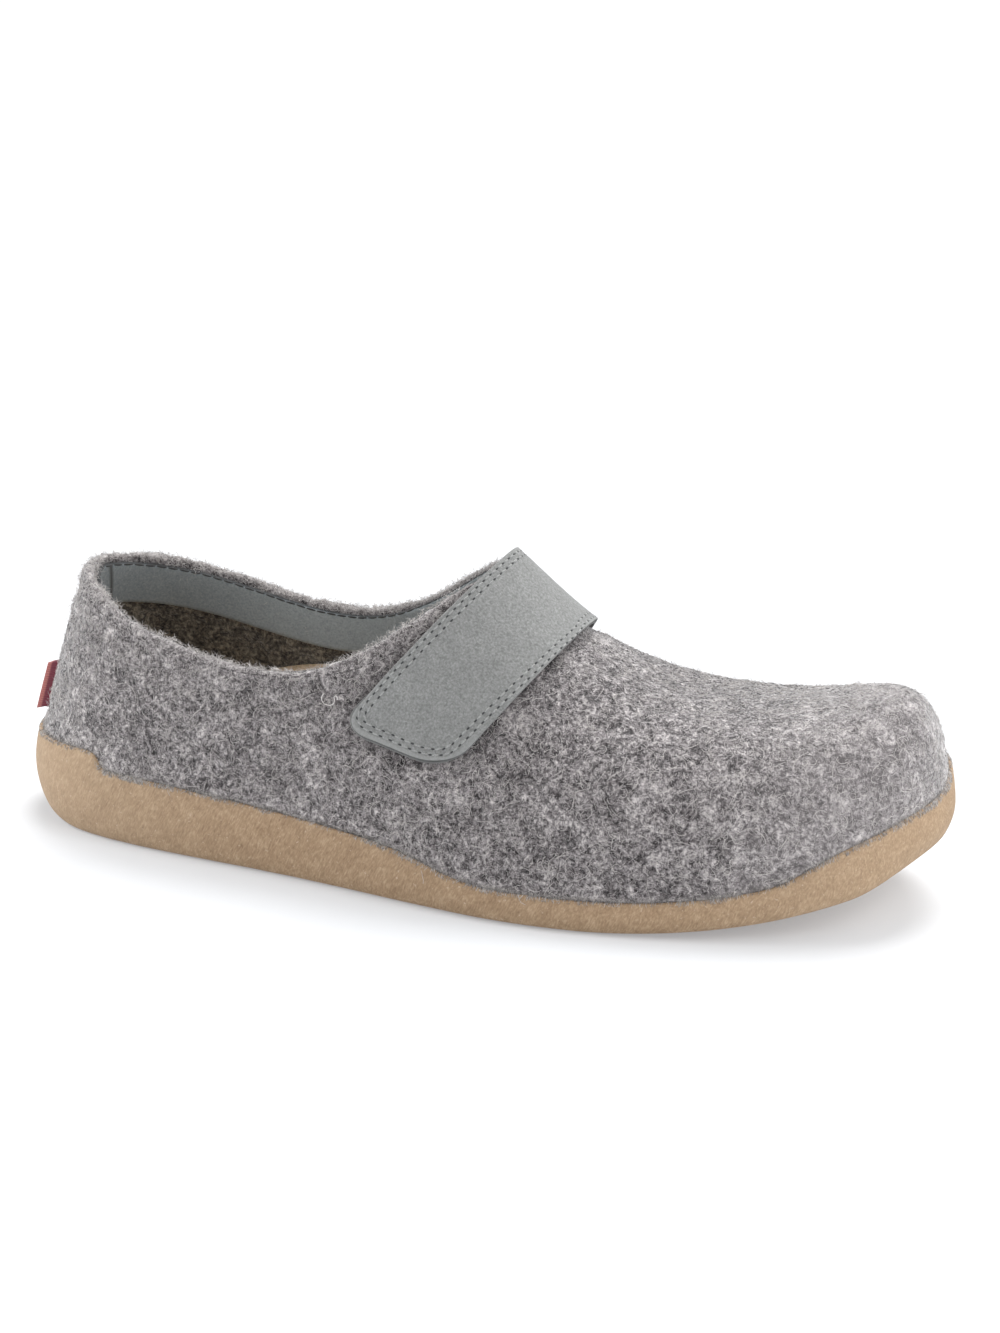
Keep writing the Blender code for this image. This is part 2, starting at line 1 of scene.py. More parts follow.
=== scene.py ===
# %% [markdown]
# # A wool felt slipper
# The slipper stands on a tan crepe-rubber sole. Its upper is one moulded shell of thick grey wool
# felt, with a suede band inside the collar, a suede strap over the instep, a tan footbed and a
# small red ribbon at the heel. The solids come ready in model.glb. This lesson gives them their
# real surfaces, piece by piece, and leaves every solid where it is.

# %% Load the solids
import math
from collections import namedtuple

import bpy
import numpy as np
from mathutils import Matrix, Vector, noise
from mathutils.kdtree import KDTree
from mathutils.bvhtree import BVHTree


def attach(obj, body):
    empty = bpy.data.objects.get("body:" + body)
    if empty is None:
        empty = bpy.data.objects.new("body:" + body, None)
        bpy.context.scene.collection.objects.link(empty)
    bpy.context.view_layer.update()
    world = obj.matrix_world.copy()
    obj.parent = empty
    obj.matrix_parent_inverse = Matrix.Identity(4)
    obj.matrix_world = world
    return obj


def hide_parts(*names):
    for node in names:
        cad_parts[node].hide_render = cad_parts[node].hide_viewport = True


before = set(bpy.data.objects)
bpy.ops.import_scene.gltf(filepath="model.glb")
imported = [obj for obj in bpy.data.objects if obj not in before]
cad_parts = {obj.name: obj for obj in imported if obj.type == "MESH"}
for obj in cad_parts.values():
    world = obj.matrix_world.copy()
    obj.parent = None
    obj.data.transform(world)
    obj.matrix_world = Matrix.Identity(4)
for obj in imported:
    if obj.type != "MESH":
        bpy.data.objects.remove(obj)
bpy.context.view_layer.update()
MM = 0.001

# %% [markdown]
# ## Camera
# A product photo is taken from about a metre away with a long lens, so that the shoe keeps its
# proportions. The camera turns round the shoe by an azimuth, looks down by an elevation, and its
# lens follows from the focal length in pixels of the picture's longer side.

# %% Camera
PICTURE_HEIGHT = 1333
FOCAL_PIXELS = 3600
SENSOR = 36.0
CAMERA_AZIMUTH = math.radians(22)
CAMERA_ELEVATION = math.radians(18.5)
CAMERA_DISTANCE = 1.0
AIM_HEIGHT = 40 * MM
AIM_RIGHT = 9.4 * MM
AIM_UP = 13.3 * MM

right = Vector((math.cos(CAMERA_AZIMUTH), math.sin(CAMERA_AZIMUTH), 0))
ahead = Vector((
    -math.sin(CAMERA_AZIMUTH) * math.cos(CAMERA_ELEVATION),
    math.cos(CAMERA_AZIMUTH) * math.cos(CAMERA_ELEVATION),
    -math.sin(CAMERA_ELEVATION),
))
up = right.cross(ahead)
target = Vector((0, 0, AIM_HEIGHT)) + right * AIM_RIGHT + up * AIM_UP
bpy.ops.object.camera_add(location=target - ahead * CAMERA_DISTANCE)
camera = bpy.context.active_object
camera.name = "camera"
camera.rotation_euler = ahead.to_track_quat("-Z", "Y").to_euler()
camera.data.sensor_width = SENSOR
camera.data.lens = FOCAL_PIXELS / PICTURE_HEIGHT * SENSOR
bpy.context.scene.camera = camera
print("camera at", tuple(round(c, 3) for c in camera.location), "lens", round(camera.data.lens, 1), "mm")

# %% [markdown]
# ## Colours and nodes
# Colours are written as they look on a screen, as sRGB hex, and one function turns them to the
# linear values that a shader works in. One more function adds any node: its settings, its inputs
# as values or links, and the stops of a colour ramp.

# %% Helpers for colours and nodes
def linear(code):
    """An sRGB hex colour as linear red, green and blue, with full alpha."""
    channels = [int(code[i:i + 2], 16) / 255 for i in (1, 3, 5)]
    return [c / 12.92 if c <= 0.04045 else ((c + 0.055) / 1.055) ** 2.4 for c in channels] + [1.0]


def add(tree, kind, inputs=None, output=0, stops=None, **settings):
    """Adds a node with its settings, input values or links and ramp stops, and returns one output."""
    node = tree.nodes.new("ShaderNode" + kind)
    for name, value in settings.items():
        setattr(node, name, value)
    for key, value in (inputs or {}).items():
        if isinstance(value, bpy.types.NodeSocket):
            tree.links.new(value, node.inputs[key])
        else:
            node.inputs[key].default_value = value
    if stops:
        elements = node.color_ramp.elements
        while len(elements) < len(stops):
            elements.new(1.0)
        for element, (position, code) in zip(elements, stops):
            element.position = position
            element.color = linear(code)
    return node.outputs[output] if node.outputs else None


def new_material(name):
    """An empty material with its node tree and the place of its texture, in object coordinates."""
    material = bpy.data.materials.new(name)
    material.use_nodes = True
    material.node_tree.nodes.clear()
    return material, material.node_tree, add(material.node_tree, "TexCoord", output="Object")


def finish_material(tree, **inputs):
    """Adds the surface shader and the output. Keywords are the shader's sockets, with _ for a space."""
    sockets = {name.replace("_", " "): value for name, value in inputs.items()}
    surface = add(tree, "BsdfPrincipled", sockets)
    add(tree, "OutputMaterial", {"Surface": surface})


# %% [markdown]
# ## Floor and light
# The slipper stands on a white ground in soft light from all round. Large boxes above, behind, past
# the toe and low in front are sun lamps with a wide angle, which light the sheet evenly to its far
# end. Two small boxes stand close to the toe and to the heel, so that both ends are lighter than the
# waist. The ground is a light table, a pale sheet that also glows a little and keeps shadows light.

# %% Floor and light
FLOOR_SIZE = 14.0
FLOOR_DROP = 0.05 * MM
CLOUDS_PER_METRE = 30.0
SKY_STRENGTH = 0.15
SHEET_GLOW = 0.27
SunLamp = namedtuple("SunLamp", "name azimuth elevation angle strength")
SUN_LAMPS = (
    SunLamp("box_above", 200, 78, 30, 0.45),
    SunLamp("box_toe_high", 88, 55, 50, 0.55),
    SunLamp("box_behind", 184, 56, 36, 2.75),
    SunLamp("box_toe_back", 115, 35, 60, 1.05),
    SunLamp("box_front", 8, 12, 40, 0.68),
)
NearBox = namedtuple("NearBox", "name place aim power")
NEAR_BOXES = (
    NearBox("box_toe", (0.36, -0.12, 0.20), (0.10, 0.0, 0.03), 0.46),
    NearBox("box_heel", (-0.38, -0.12, 0.22), (-0.11, 0.0, 0.04), 1.00),
)
BOX_SIZE = 0.25

bpy.ops.mesh.primitive_plane_add(size=FLOOR_SIZE, location=(0, 0, -FLOOR_DROP))
floor = bpy.context.active_object
floor.name = "floor"
floor_paint, tree, place = new_material("white_acrylic_sheet")
clouding = add(tree, "TexNoise", {"Vector": place, "Scale": CLOUDS_PER_METRE})
finish_material(
    tree,
    Base_Color=add(tree, "ValToRGB", {0: clouding}, stops=[(0.0, "#C6C7C8"), (1.0, "#CACBCC")]),
    Emission_Color=linear("#F4F8FF"),
    Emission_Strength=SHEET_GLOW,
    Roughness=0.9,
    Specular_IOR_Level=0.1,
)
floor.data.materials.append(floor_paint)

sky = bpy.data.worlds.new("white_sky")
sky.use_nodes = True
sky.node_tree.nodes["Background"].inputs["Color"].default_value = linear("#FFFFFF")
sky.node_tree.nodes["Background"].inputs["Strength"].default_value = SKY_STRENGTH
bpy.context.scene.world = sky


def add_lamp(name, kind, place, aim, energy):
    """A lamp at a place, turned to its aim and hidden from the camera itself."""
    bpy.ops.object.light_add(type=kind, location=place)
    lamp = bpy.context.active_object
    lamp.name = name
    lamp.rotation_euler = (Vector(aim) - Vector(place)).to_track_quat("-Z", "Y").to_euler()
    lamp.data.energy = energy
    lamp.visible_camera = False
    return lamp.data


for row in SUN_LAMPS:
    turn, height = math.radians(row.azimuth), math.radians(row.elevation)
    level = math.cos(height)
    towards = Vector((math.sin(turn) * level, -math.cos(turn) * level, math.sin(height)))
    add_lamp(row.name, "SUN", towards, (0, 0, 0), row.strength).angle = math.radians(row.angle)
for row in NEAR_BOXES:
    add_lamp(row.name, "AREA", row.place, row.aim, row.power).size = BOX_SIZE
bpy.context.scene.view_settings.view_transform = "Standard"
print("lamps", [row.name for row in SUN_LAMPS + NEAR_BOXES])

# %% [markdown]
# ## Smooth copies of the solids
# The solids are exact but faceted. For a smooth surface each one is copied, its loose triangles are
# merged and joined to quads, and a subdivision surface rounds them. Hard edges and the border of a
# flat underside are creased first, so that they stay. A subdivision surface shrinks a little inside
# its cage, so the cage is moved out until the smooth surface runs through the solid's own points.

# %% Helpers for meshes
MERGE = 0.01 * MM
QUAD_ANGLE = math.radians(60)
HARD_EDGE = math.radians(50)
CAGE_ROUNDS = 4
CAGE_LIMIT = 1.2 * MM


def only(obj):
    """Selects one object alone and makes it the active one."""
    bpy.ops.object.select_all(action="DESELECT")
    obj.select_set(True)
    bpy.context.view_layer.objects.active = obj


def apply_modifier(obj, kind, **settings):
    """Adds one modifier to an object and applies it."""
    only(obj)
    modifier = obj.modifiers.new(kind.lower(), kind)
    for name, value in settings.items():
        setattr(modifier, name, value)
    bpy.ops.object.modifier_apply(modifier=modifier.name)


def smooth_copy(node, name, crease=0.0, levels=2):
    """A subdivided copy of a solid. With a crease it keeps its hard edges and its exact form."""
    only(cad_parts[node])
    bpy.ops.object.duplicate()
    piece = bpy.context.active_object
    piece.name = name
    piece.data.name = name
    piece.parent = None
    for key in list(piece.keys()):
        del piece[key]
    piece.data.materials.clear()
    bpy.ops.mesh.customdata_custom_splitnormals_clear()
    bpy.ops.object.mode_set(mode="EDIT")
    bpy.ops.mesh.select_mode(type="EDGE")
    bpy.ops.mesh.select_all(action="SELECT")
    bpy.ops.mesh.remove_doubles(threshold=MERGE)
    bpy.ops.mesh.tris_convert_to_quads(face_threshold=QUAD_ANGLE, shape_threshold=QUAD_ANGLE)
    if crease:
        bpy.ops.mesh.select_all(action="DESELECT")
        bpy.ops.mesh.edges_select_sharp(sharpness=HARD_EDGE)
        bpy.ops.transform.edge_crease(value=crease)
        bpy.ops.mesh.select_all(action="DESELECT")
        bpy.ops.mesh.select_mode(type="FACE")
        bpy.ops.object.mode_set(mode="OBJECT")
        piece.data.polygons.foreach_set("select", [face.normal.z < -0.9999 for face in piece.data.polygons])
        bpy.ops.object.mode_set(mode="EDIT")
        bpy.ops.mesh.region_to_loop()
        bpy.ops.transform.edge_crease(value=1.0)
    bpy.ops.object.mode_set(mode="OBJECT")
    wanted = coordinates(piece.data)
    smooth = piece.modifiers.new("smooth", "SUBSURF")
    smooth.levels = smooth.render_levels = levels
    for _ in range(CAGE_ROUNDS if crease else 0):
        evaluated = piece.evaluated_get(bpy.context.evaluated_depsgraph_get())
        missing = wanted - coordinates(evaluated.data)[:len(wanted)]
        shift = coordinates(piece.data) + missing - wanted
        length = np.maximum(np.linalg.norm(shift, axis=1), 1e-9)
        move_points(piece.data, wanted + shift * np.minimum(1, CAGE_LIMIT / length)[:, None])
    only(piece)
    bpy.ops.object.modifier_apply(modifier=smooth.name)
    bpy.ops.object.shade_smooth()
    return piece


def coordinates(mesh):
    """A mesh's points as an array."""
    flat = np.empty(len(mesh.vertices) * 3)
    mesh.vertices.foreach_get("co", flat)
    return flat.reshape(-1, 3)


def normals_of(mesh):
    """A mesh's point normals as an array."""
    return np.array([v.vector for v in mesh.vertex_normals])


def move_points(mesh, points):
    """Gives a mesh new point places."""
    mesh.vertices.foreach_set("co", np.asarray(points, np.float32).ravel())
    mesh.update()


def mark(mesh, name, values):
    """Stores one number per point for a material to read."""
    attribute = mesh.attributes.new(name, "FLOAT", "POINT")
    attribute.data.foreach_set("value", np.asarray(values, np.float32))


def ease(share):
    """0 below 0, 1 above 1 and a smooth rise between, for numbers or arrays."""
    t = np.clip(share, 0.0, 1.0)
    return t * t * (3 - 2 * t)


def tree_of(mesh):
    """A search tree of a mesh's faces, for rays and nearest points."""
    return BVHTree.FromPolygons([v.co for v in mesh.vertices], [p.vertices for p in mesh.polygons])


def triangles(piece):
    """How many triangles a piece has."""
    piece.data.calc_loop_triangles()
    return len(piece.data.loop_triangles)


def dress(piece, material, node):
    """Gives a piece its finish and lets it stand for a solid on the slipper's one body."""
    piece.data.materials.append(material)
    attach(piece, "root")
    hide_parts(node)


# %% [markdown]
# ## The strap as it lies
# The strap is sewn on the inner side and pressed shut by hand, so its free end never lies quite
# straight: here it lies a little nearer to the toe, most at its front edge. Each point moves in
# proportion to its way from the ridge, along the wall of the shoe, so both edges stay straight. The
# end is cut at a slant, so that its back corner lies higher than its front corner.

# %% The strap as it lies
STRAP_CREASE = 0.5
STRAP_SLOPE = math.radians(39.5)
SHUT_BACK = 1.8 * MM
SHUT_FRONT = 3.4 * MM
SHUT_TOWARDS = np.array([1.0, 0, 0.25])
END_SLANT = 1.8 * MM
SLANT_FROM = 0.65
WALL_FROM = 0.7
across_strap = np.array([math.cos(STRAP_SLOPE), 0, -math.sin(STRAP_SLOPE)])
off_instep = np.array([math.sin(STRAP_SLOPE), 0, math.cos(STRAP_SLOPE)])

strap = smooth_copy("strap", "suede_strap", crease=STRAP_CREASE, levels=3)
points, normals = coordinates(strap.data), normals_of(strap.data)
drop = (points @ off_instep).max() - points @ off_instep
way = np.hypot(points[:, 1], drop) * (points[:, 1] < 0)
to_end = way / way.max()
wall = normals[(to_end > WALL_FROM) & (normals[:, 1] < -0.5)].mean(axis=0)
wall /= np.linalg.norm(wall)
along_wall = SHUT_TOWARDS - wall * (SHUT_TOWARDS @ wall)
front = (points @ across_strap - (points @ across_strap).min()) / np.ptp(points @ across_strap)
shut = (SHUT_BACK + (SHUT_FRONT - SHUT_BACK) * front) * to_end
up_strap = np.cross(wall, across_strap)
up_strap *= np.sign(up_strap[2])
slant = END_SLANT * ease((to_end - SLANT_FROM) / (1 - SLANT_FROM)) * (1 - front)
move_points(strap.data, points + np.outer(shut, along_wall) + np.outer(slant, up_strap))
print("strap", triangles(strap), "triangles, free end moved by up to", round(shut.max() / MM, 1), "mm")

# %% [markdown]
# ## The felt upper
# Moulded felt is never quite even: it has soft lumps a few millimetres across, and its cut edge at
# the collar is rounded and lumpy. Two displacement passes with cloud textures give the lumps, fewer
# where the rubber holds the felt and more at the collar. The strap presses a soft trough into the
# felt beside it, and along the sole it swells a little over the rubber's ledge. Marks on the points
# tell the material where the wool lies inside, where it is paler at the collar's edge and along the
# rubber, where the strap's shadow is painted beside the strap, and where light is painted on the toe.

# %% Felt upper
AXIS_HEEL = np.array([-92, 0, 32]) * MM
AXIS_TOE = np.array([92, 6, 24]) * MM
Lumps = namedtuple("Lumps", "name size height")
LUMPS = (
    Lumps("felt_waves", 17 * MM, 1.6 * MM),
    Lumps("felt_lumps", 3.4 * MM, 2.2 * MM),
)
SIDE_SHARE = 0.35
RUBBER_HOLD = 9 * MM
COLLAR_REACH = 7 * MM
BELOW_BAND = 0.2 * MM
COLLAR_DIP = 1.7 * MM
DIP_AT = -36 * MM
DIP_REACH = 18 * MM
FAR_RISE = 0.3 * MM
STRAP_REACH = 6 * MM
STRAP_PRESS = 1.1 * MM
STRAP_SHADOW_REACH = 2.4 * MM
TROUGH_SHADE = 0.6
FRINGE = 1.6 * MM
FRINGE_PALE = 0.5
NEAR_EDGE_PALE = 0.35
FAR_EDGE_PALE = 0.6
PALE_FROM = 78 * MM
PALE_REACH = 35 * MM
PALE_SHARE = 0.24
LEDGE_REACH = 5 * MM
LEDGE_SWELL = 0.6 * MM
UNDER_RUBBER = 0.4 * MM
axis = AXIS_TOE - AXIS_HEEL

upper = smooth_copy("upper", "felt_upper")
trees = {name: tree_of(node.data) for name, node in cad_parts.items()}
trees["strap"] = tree_of(strap.data)


def nearest(tree, points):
    """The nearest place on a mesh for each point, its normal, and the distance."""
    found = [tree.find_nearest(Vector(p)) for p in points]
    places = np.array([f[0] for f in found])
    normals = np.array([f[1] for f in found])
    return places, normals, np.array([f[3] for f in found])


def off_axis(points):
    """The way to each point from the slipper's middle line, which runs from heel to toe."""
    share = np.clip((points - AXIS_HEEL) @ axis / (axis @ axis), 0, 1)
    return points - AXIS_HEEL - share[:, None] * axis


points, normals = coordinates(upper.data), normals_of(upper.data)
turned_in = np.einsum("ij,ij->i", normals, off_axis(points)) < 0
band, _, from_facing = nearest(trees["collar_facing"], points)
below_facing = points[:, 2] < band[:, 2] - BELOW_BAND
from_sole = nearest(trees["outsole"], points)[2]
from_strap = nearest(trees["strap"], points)[2]
collar = ease(1 - from_facing / COLLAR_REACH) * ~below_facing
press = STRAP_PRESS * ease(1 - from_strap / STRAP_REACH) * ~turned_in
swell = LEDGE_SWELL * ease(1 - from_sole / LEDGE_REACH) * (from_sole > UNDER_RUBBER) * ~turned_in
dip = COLLAR_DIP * np.exp(-((points[:, 0] - DIP_AT) / DIP_REACH) ** 2)
raised = collar * np.where(points[:, 1] < 0, -dip, FAR_RISE)
move_points(upper.data, points + normals * (swell - press)[:, None] + np.outer(raised, (0, 0, 1)))
free = upper.vertex_groups.new(name="free_felt")
loose = ease(from_sole / RUBBER_HOLD) * (SIDE_SHARE + (1 - SIDE_SHARE) * collar)
for i, weight in enumerate(loose * ease(from_strap / STRAP_REACH)):
    free.add([i], weight, "REPLACE")
for row in LUMPS:
    clouds = bpy.data.textures.new(row.name, "CLOUDS")
    clouds.noise_scale = row.size
    clouds.noise_depth = 1
    apply_modifier(
        upper, "DISPLACE", texture=clouds, texture_coords="LOCAL", strength=row.height, mid_level=0.5,
        vertex_group=free.name,
    )
mark(upper.data, "inside", turned_in & below_facing)
# Paler where the collar's cut edge faces up, more on the far side, and along the rubber.
pale_edge = np.where(points[:, 1] < 0, NEAR_EDGE_PALE, FAR_EDGE_PALE) * collar * ease(normals[:, 2])
mark(upper.data, "rim", np.maximum(pale_edge, FRINGE_PALE * ease(1 - from_sole / FRINGE)))
# Painted shadow of the strap on the felt beside it.
mark(upper.data, "strap_shadow", TROUGH_SHADE * ease(1 - from_strap / STRAP_SHADOW_REACH))
# Painted light: the felt is painted paler towards the toe.
pale = ease((points[:, 0] - PALE_FROM) / PALE_REACH)
mark(upper.data, "pale", PALE_SHARE * pale)
print("upper", triangles(upper), "triangles")

# %% [markdown]
# ## Wool felt
# Felt is a mat of short wool fibres, some light and some dark, pressed with no direction. Up close
# it shows streaks a fraction of a millimetre wide and a few long, lying every way, and from a step
# away soft blotches of light and dark of all sizes up to a centimetre. Stretched noise turned five
# ways gives the streaks, plain noise in four sizes the blotches, and both raise the surface a little.

# %% Wool felt
STREAK_WIDTH = 0.36 * MM
STREAK_LENGTH = 2.0 * MM
STREAK_WEIGHT = 0.9
STREAK_TURNS = ((0.3, 0.2, 0.0), (1.2, 0.4, 0.9), (0.5, 1.3, 2.1), (1.9, 0.8, 0.4), (0.9, 2.3, 1.6))
Blotch = namedtuple("Blotch", "size detail weight")
BLOTCHES = (
    Blotch(12.0 * MM, 1.0, 0.8),
    Blotch(5.0 * MM, 1.0, 0.9),
    Blotch(2.3 * MM, 1.0, 1.5),
    Blotch(1.1 * MM, 1.0, 2.4),
)
WARP = 1.4 * MM
FELT_BUMP = 1.6 * MM


def wool_felt(name, stops, bump):
    """Wool felt as material, tree, colour and relief. The stops run from dark to light fibres."""
    material, tree, place = new_material(name)
    swirl = add(tree, "TexNoise", {"Vector": place, "Scale": 1 / (3 * WARP), "Detail": 2.0}, "Color")
    centred = add(tree, "VectorMath", {0: swirl, 1: (0.5, 0.5, 0.5)}, operation="SUBTRACT")
    drift = add(tree, "VectorMath", {0: centred, "Scale": 2 * WARP}, operation="SCALE")
    warped = add(tree, "VectorMath", {0: place, 1: drift}, operation="ADD")
    total = STREAK_WEIGHT * len(STREAK_TURNS) + sum(row.weight for row in BLOTCHES)
    tone = None
    for row in BLOTCHES:
        blotch = add(tree, "TexNoise", {"Vector": warped, "Scale": 1 / row.size, "Detail": row.detail})
        tone = add(tree, "Math", {0: blotch, 1: row.weight / total, 2: tone or 0.0}, operation="MULTIPLY_ADD")
    for turn in STREAK_TURNS:
        laid = add(tree, "Mapping", {
            "Vector": warped,
            "Rotation": turn,
            "Scale": (STREAK_WIDTH, STREAK_WIDTH, STREAK_LENGTH),
        }, vector_type="TEXTURE")
        streak = add(tree, "TexNoise", {"Vector": laid, "Scale": 1.0, "Detail": 1.0})
        tone = add(tree, "Math", {0: streak, 1: STREAK_WEIGHT / total, 2: tone}, operation="MULTIPLY_ADD")
    colour = add(tree, "ValToRGB", {0: tone}, stops=stops)
    relief = add(tree, "Bump", {"Height": tone, "Distance": bump, "Strength": 1.0})
    return material, tree, colour, relief


FELT_STOPS = [(0.42, "#2E2B2C"), (0.475, "#676263"), (0.525, "#959091"), (0.60, "#D8D2D1")]
felt, tree, colour, relief = wool_felt("grey_wool_felt", FELT_STOPS, FELT_BUMP)
within = add(tree, "Attribute", output="Fac", attribute_name="inside")
brown = add(
    tree, "MixRGB", {"Fac": within, "Color1": colour, "Color2": linear("#C0BEAE")}, blend_type="MULTIPLY"
)
# The strap's painted shadow, multiplied into the felt's colour beside it.
strap_shadow = add(tree, "Attribute", output="Fac", attribute_name="strap_shadow")
strap_shadowed = add(
    tree, "MixRGB", {"Fac": strap_shadow, "Color1": brown, "Color2": linear("#6A6566")}, blend_type="MULTIPLY"
)
rim = add(tree, "Attribute", output="Fac", attribute_name="rim")
lightened = add(tree, "MixRGB", {"Fac": rim, "Color1": strap_shadowed, "Color2": linear("#ABA6A4")})
# Painted light on the toe, mixed in as a paler grey.
brushing_and_lit_toe = add(tree, "Attribute", output="Fac", attribute_name="pale")
soft = add(tree, "MixRGB", {"Fac": brushing_and_lit_toe, "Color1": lightened, "Color2": linear("#ADA8A8")})
finish_material(
    tree, Base_Color=soft, Roughness=0.95, Normal=relief, Sheen_Weight=1.0, Sheen_Roughness=0.4,
    Specular_IOR_Level=0.2,
)
dress(upper, felt, "upper")
print("felt nodes", len(tree.nodes))

# %% [markdown]
# ## The rubber sole
# Natural crepe rubber is a sheet of pressed latex: matt, tan, with a fine crinkled grain and pale
# specks. The sole keeps the solid's shape with softened edges, and below the tip of the toe it is
# worn a little rounder. Fine noise gives the grain, stretched noise the crinkles, and the brightest
# spots of one more noise the specks. Light is painted on the heel and the toe, which are paler.

# %% Rubber sole
SOLE_CREASE = 0.35
CREPE_GRAIN = 1.0 * MM
CREPE_CLOUD = 4 * MM
SPECK = 0.8 * MM
CRINKLE_WIDTH = 0.4 * MM
CRINKLE_LENGTH = 1.8 * MM
TOE_FROM = 118 * MM
TOE_REACH = 17 * MM
TOE_LOW = 14 * MM
TOE_WALL = 14 * MM
TOE_WEAR = np.array([-1.2, 0, 2.6]) * MM
PAINTED_HEEL_LIGHT = 0.3
PAINTED_TOE_LIGHT = 0.15
HEEL_FROM = -40 * MM
HEEL_FADE = 90 * MM
BUMPER_FROM = 70 * MM
BUMPER_FADE = 55 * MM
GRAIN_SHARE = 0.45
CRINKLE_SHARE = 0.55
CLOUD_SHARE = 0.25
CREPE_BUMP = 0.45 * MM

sole = smooth_copy("outsole", "rubber_sole", crease=SOLE_CREASE)
points = coordinates(sole.data)
tip = ease((points[:, 0] - TOE_FROM) / TOE_REACH)
low = ease(1 - (points[:, 2] - TOE_LOW) / TOE_WALL)
move_points(sole.data, points + np.outer(tip * low, TOE_WEAR))
# Painted light: the rubber is painted paler towards the heel and the toe.
at_heel = ease((HEEL_FROM - points[:, 0]) / HEEL_FADE)
at_toe = ease((points[:, 0] - BUMPER_FROM) / BUMPER_FADE)
mark(sole.data, "lightened", PAINTED_HEEL_LIGHT * at_heel + PAINTED_TOE_LIGHT * at_toe)
crepe, tree, place = new_material("tan_crepe_rubber")
grain = add(tree, "TexNoise", {"Vector": place, "Scale": 1 / CREPE_GRAIN, "Detail": 4.0, "Roughness": 0.7})
cloud = add(tree, "TexNoise", {"Vector": place, "Scale": 1 / CREPE_CLOUD, "Detail": 1.0})
laid = add(tree, "Mapping", {
    "Vector": place,
    "Rotation": (0.2, 0.4, 0.3),
    "Scale": (CRINKLE_WIDTH, CRINKLE_WIDTH, CRINKLE_LENGTH),
}, vector_type="TEXTURE")
crinkle = add(tree, "TexNoise", {"Vector": laid, "Scale": 1.0, "Detail": 1.0})
grainy = add(tree, "Math", {0: grain, 1: GRAIN_SHARE}, operation="MULTIPLY")
rough = add(tree, "Math", {0: crinkle, 1: CRINKLE_SHARE, 2: grainy}, operation="MULTIPLY_ADD")
mixed = add(tree, "Math", {0: cloud, 1: CLOUD_SHARE, 2: rough}, operation="MULTIPLY_ADD")
tan = add(tree, "ValToRGB", {0: mixed}, stops=[(0.42, "#8D745B"), (0.625, "#A68C70"), (0.83, "#BEA589")])
speck = add(tree, "TexNoise", {"Vector": place, "Scale": 1 / SPECK, "Detail": 1.0})
bright = add(tree, "MapRange", {"Value": speck, "From Min": 0.68, "From Max": 0.80})
specked = add(tree, "MixRGB", {"Fac": bright, "Color1": tan, "Color2": linear("#C8B39D")})
lighter_share = add(tree, "Attribute", output="Fac", attribute_name="lightened")
colour = add(tree, "MixRGB", {"Fac": lighter_share, "Color1": specked, "Color2": linear("#BAA68F")})
relief = add(tree, "Bump", {"Height": rough, "Distance": CREPE_BUMP, "Strength": 1.0})
finish_material(tree, Base_Color=colour, Roughness=0.75, Normal=relief, Specular_IOR_Level=0.3)
dress(sole, crepe, "outsole")
print("sole", triangles(sole), "triangles")

# %% [markdown]
# ## Suede
# Suede is the napped flesh side of leather: a very short pile, so it has no gloss and only a fine
# mottle where the pile lies one way or the other. The same recipe serves the strap, the facing
# and the footbed, each in its own colour. The nap is drawn coarser than it is, to show at all.

# %% Suede
NAP = 0.6 * MM
BRUSH = 6 * MM
BRUSH_WEIGHT = 0.2
PIT = 0.9 * MM
PIT_FROM = 0.61
PIT_FULL = 0.71
PIT_SHADE = 0.8


def suede(name, dark, middle, light, bump):
    """Suede in three tones of one colour: its material, tree, place, colour and relief."""
    material, tree, place = new_material(name)
    pile = add(tree, "TexNoise", {"Vector": place, "Scale": 1 / NAP, "Detail": 2.0, "Roughness": 0.6})
    brushing_and_lit_toe = add(tree, "TexNoise", {"Vector": place, "Scale": 1 / BRUSH, "Detail": 2.0})
    mixed = add(tree, "Math", {0: brushing_and_lit_toe, 1: BRUSH_WEIGHT, 2: pile}, operation="MULTIPLY_ADD")
    mean = add(tree, "Math", {0: mixed, 1: 1 + BRUSH_WEIGHT}, operation="DIVIDE")
    napped = add(tree, "ValToRGB", {0: mean}, stops=[(0.3, dark), (0.5, middle), (0.7, light)])
    spots = add(tree, "TexNoise", {"Vector": place, "Scale": 1 / PIT, "Detail": 1.0})
    pitted = add(tree, "MapRange", {
        "Value": spots,
        "From Min": PIT_FROM,
        "From Max": PIT_FULL,
        "To Max": PIT_SHADE,
    })
    colour = add(tree, "MixRGB", {"Fac": pitted, "Color1": napped, "Color2": linear(dark)})
    relief = add(tree, "Bump", {"Height": pile, "Distance": bump, "Strength": 1.0})
    return material, tree, place, colour, relief


def finish_suede(tree, colour, relief):
    """Suede's dull surface with the soft edge light of its pile."""
    finish_material(
        tree, Base_Color=colour, Roughness=0.92, Normal=relief, Sheen_Weight=0.15, Sheen_Roughness=0.5,
        Specular_IOR_Level=0.2,
    )


# %% [markdown]
# ## Footbed and facing
# The footbed lies in the shell with its high edge along the inner arch, and the facing is a band of
# suede sewn round the inside of the collar. Its heel piece is a length of its own, so a fine dark
# joint shows where the side pieces begin. The joint leans back with the wall. Round the heel the band
# is painted darker, as painted shade. Its upper edge lies tight under the felt's edge and is painted
# dark with its shadow.

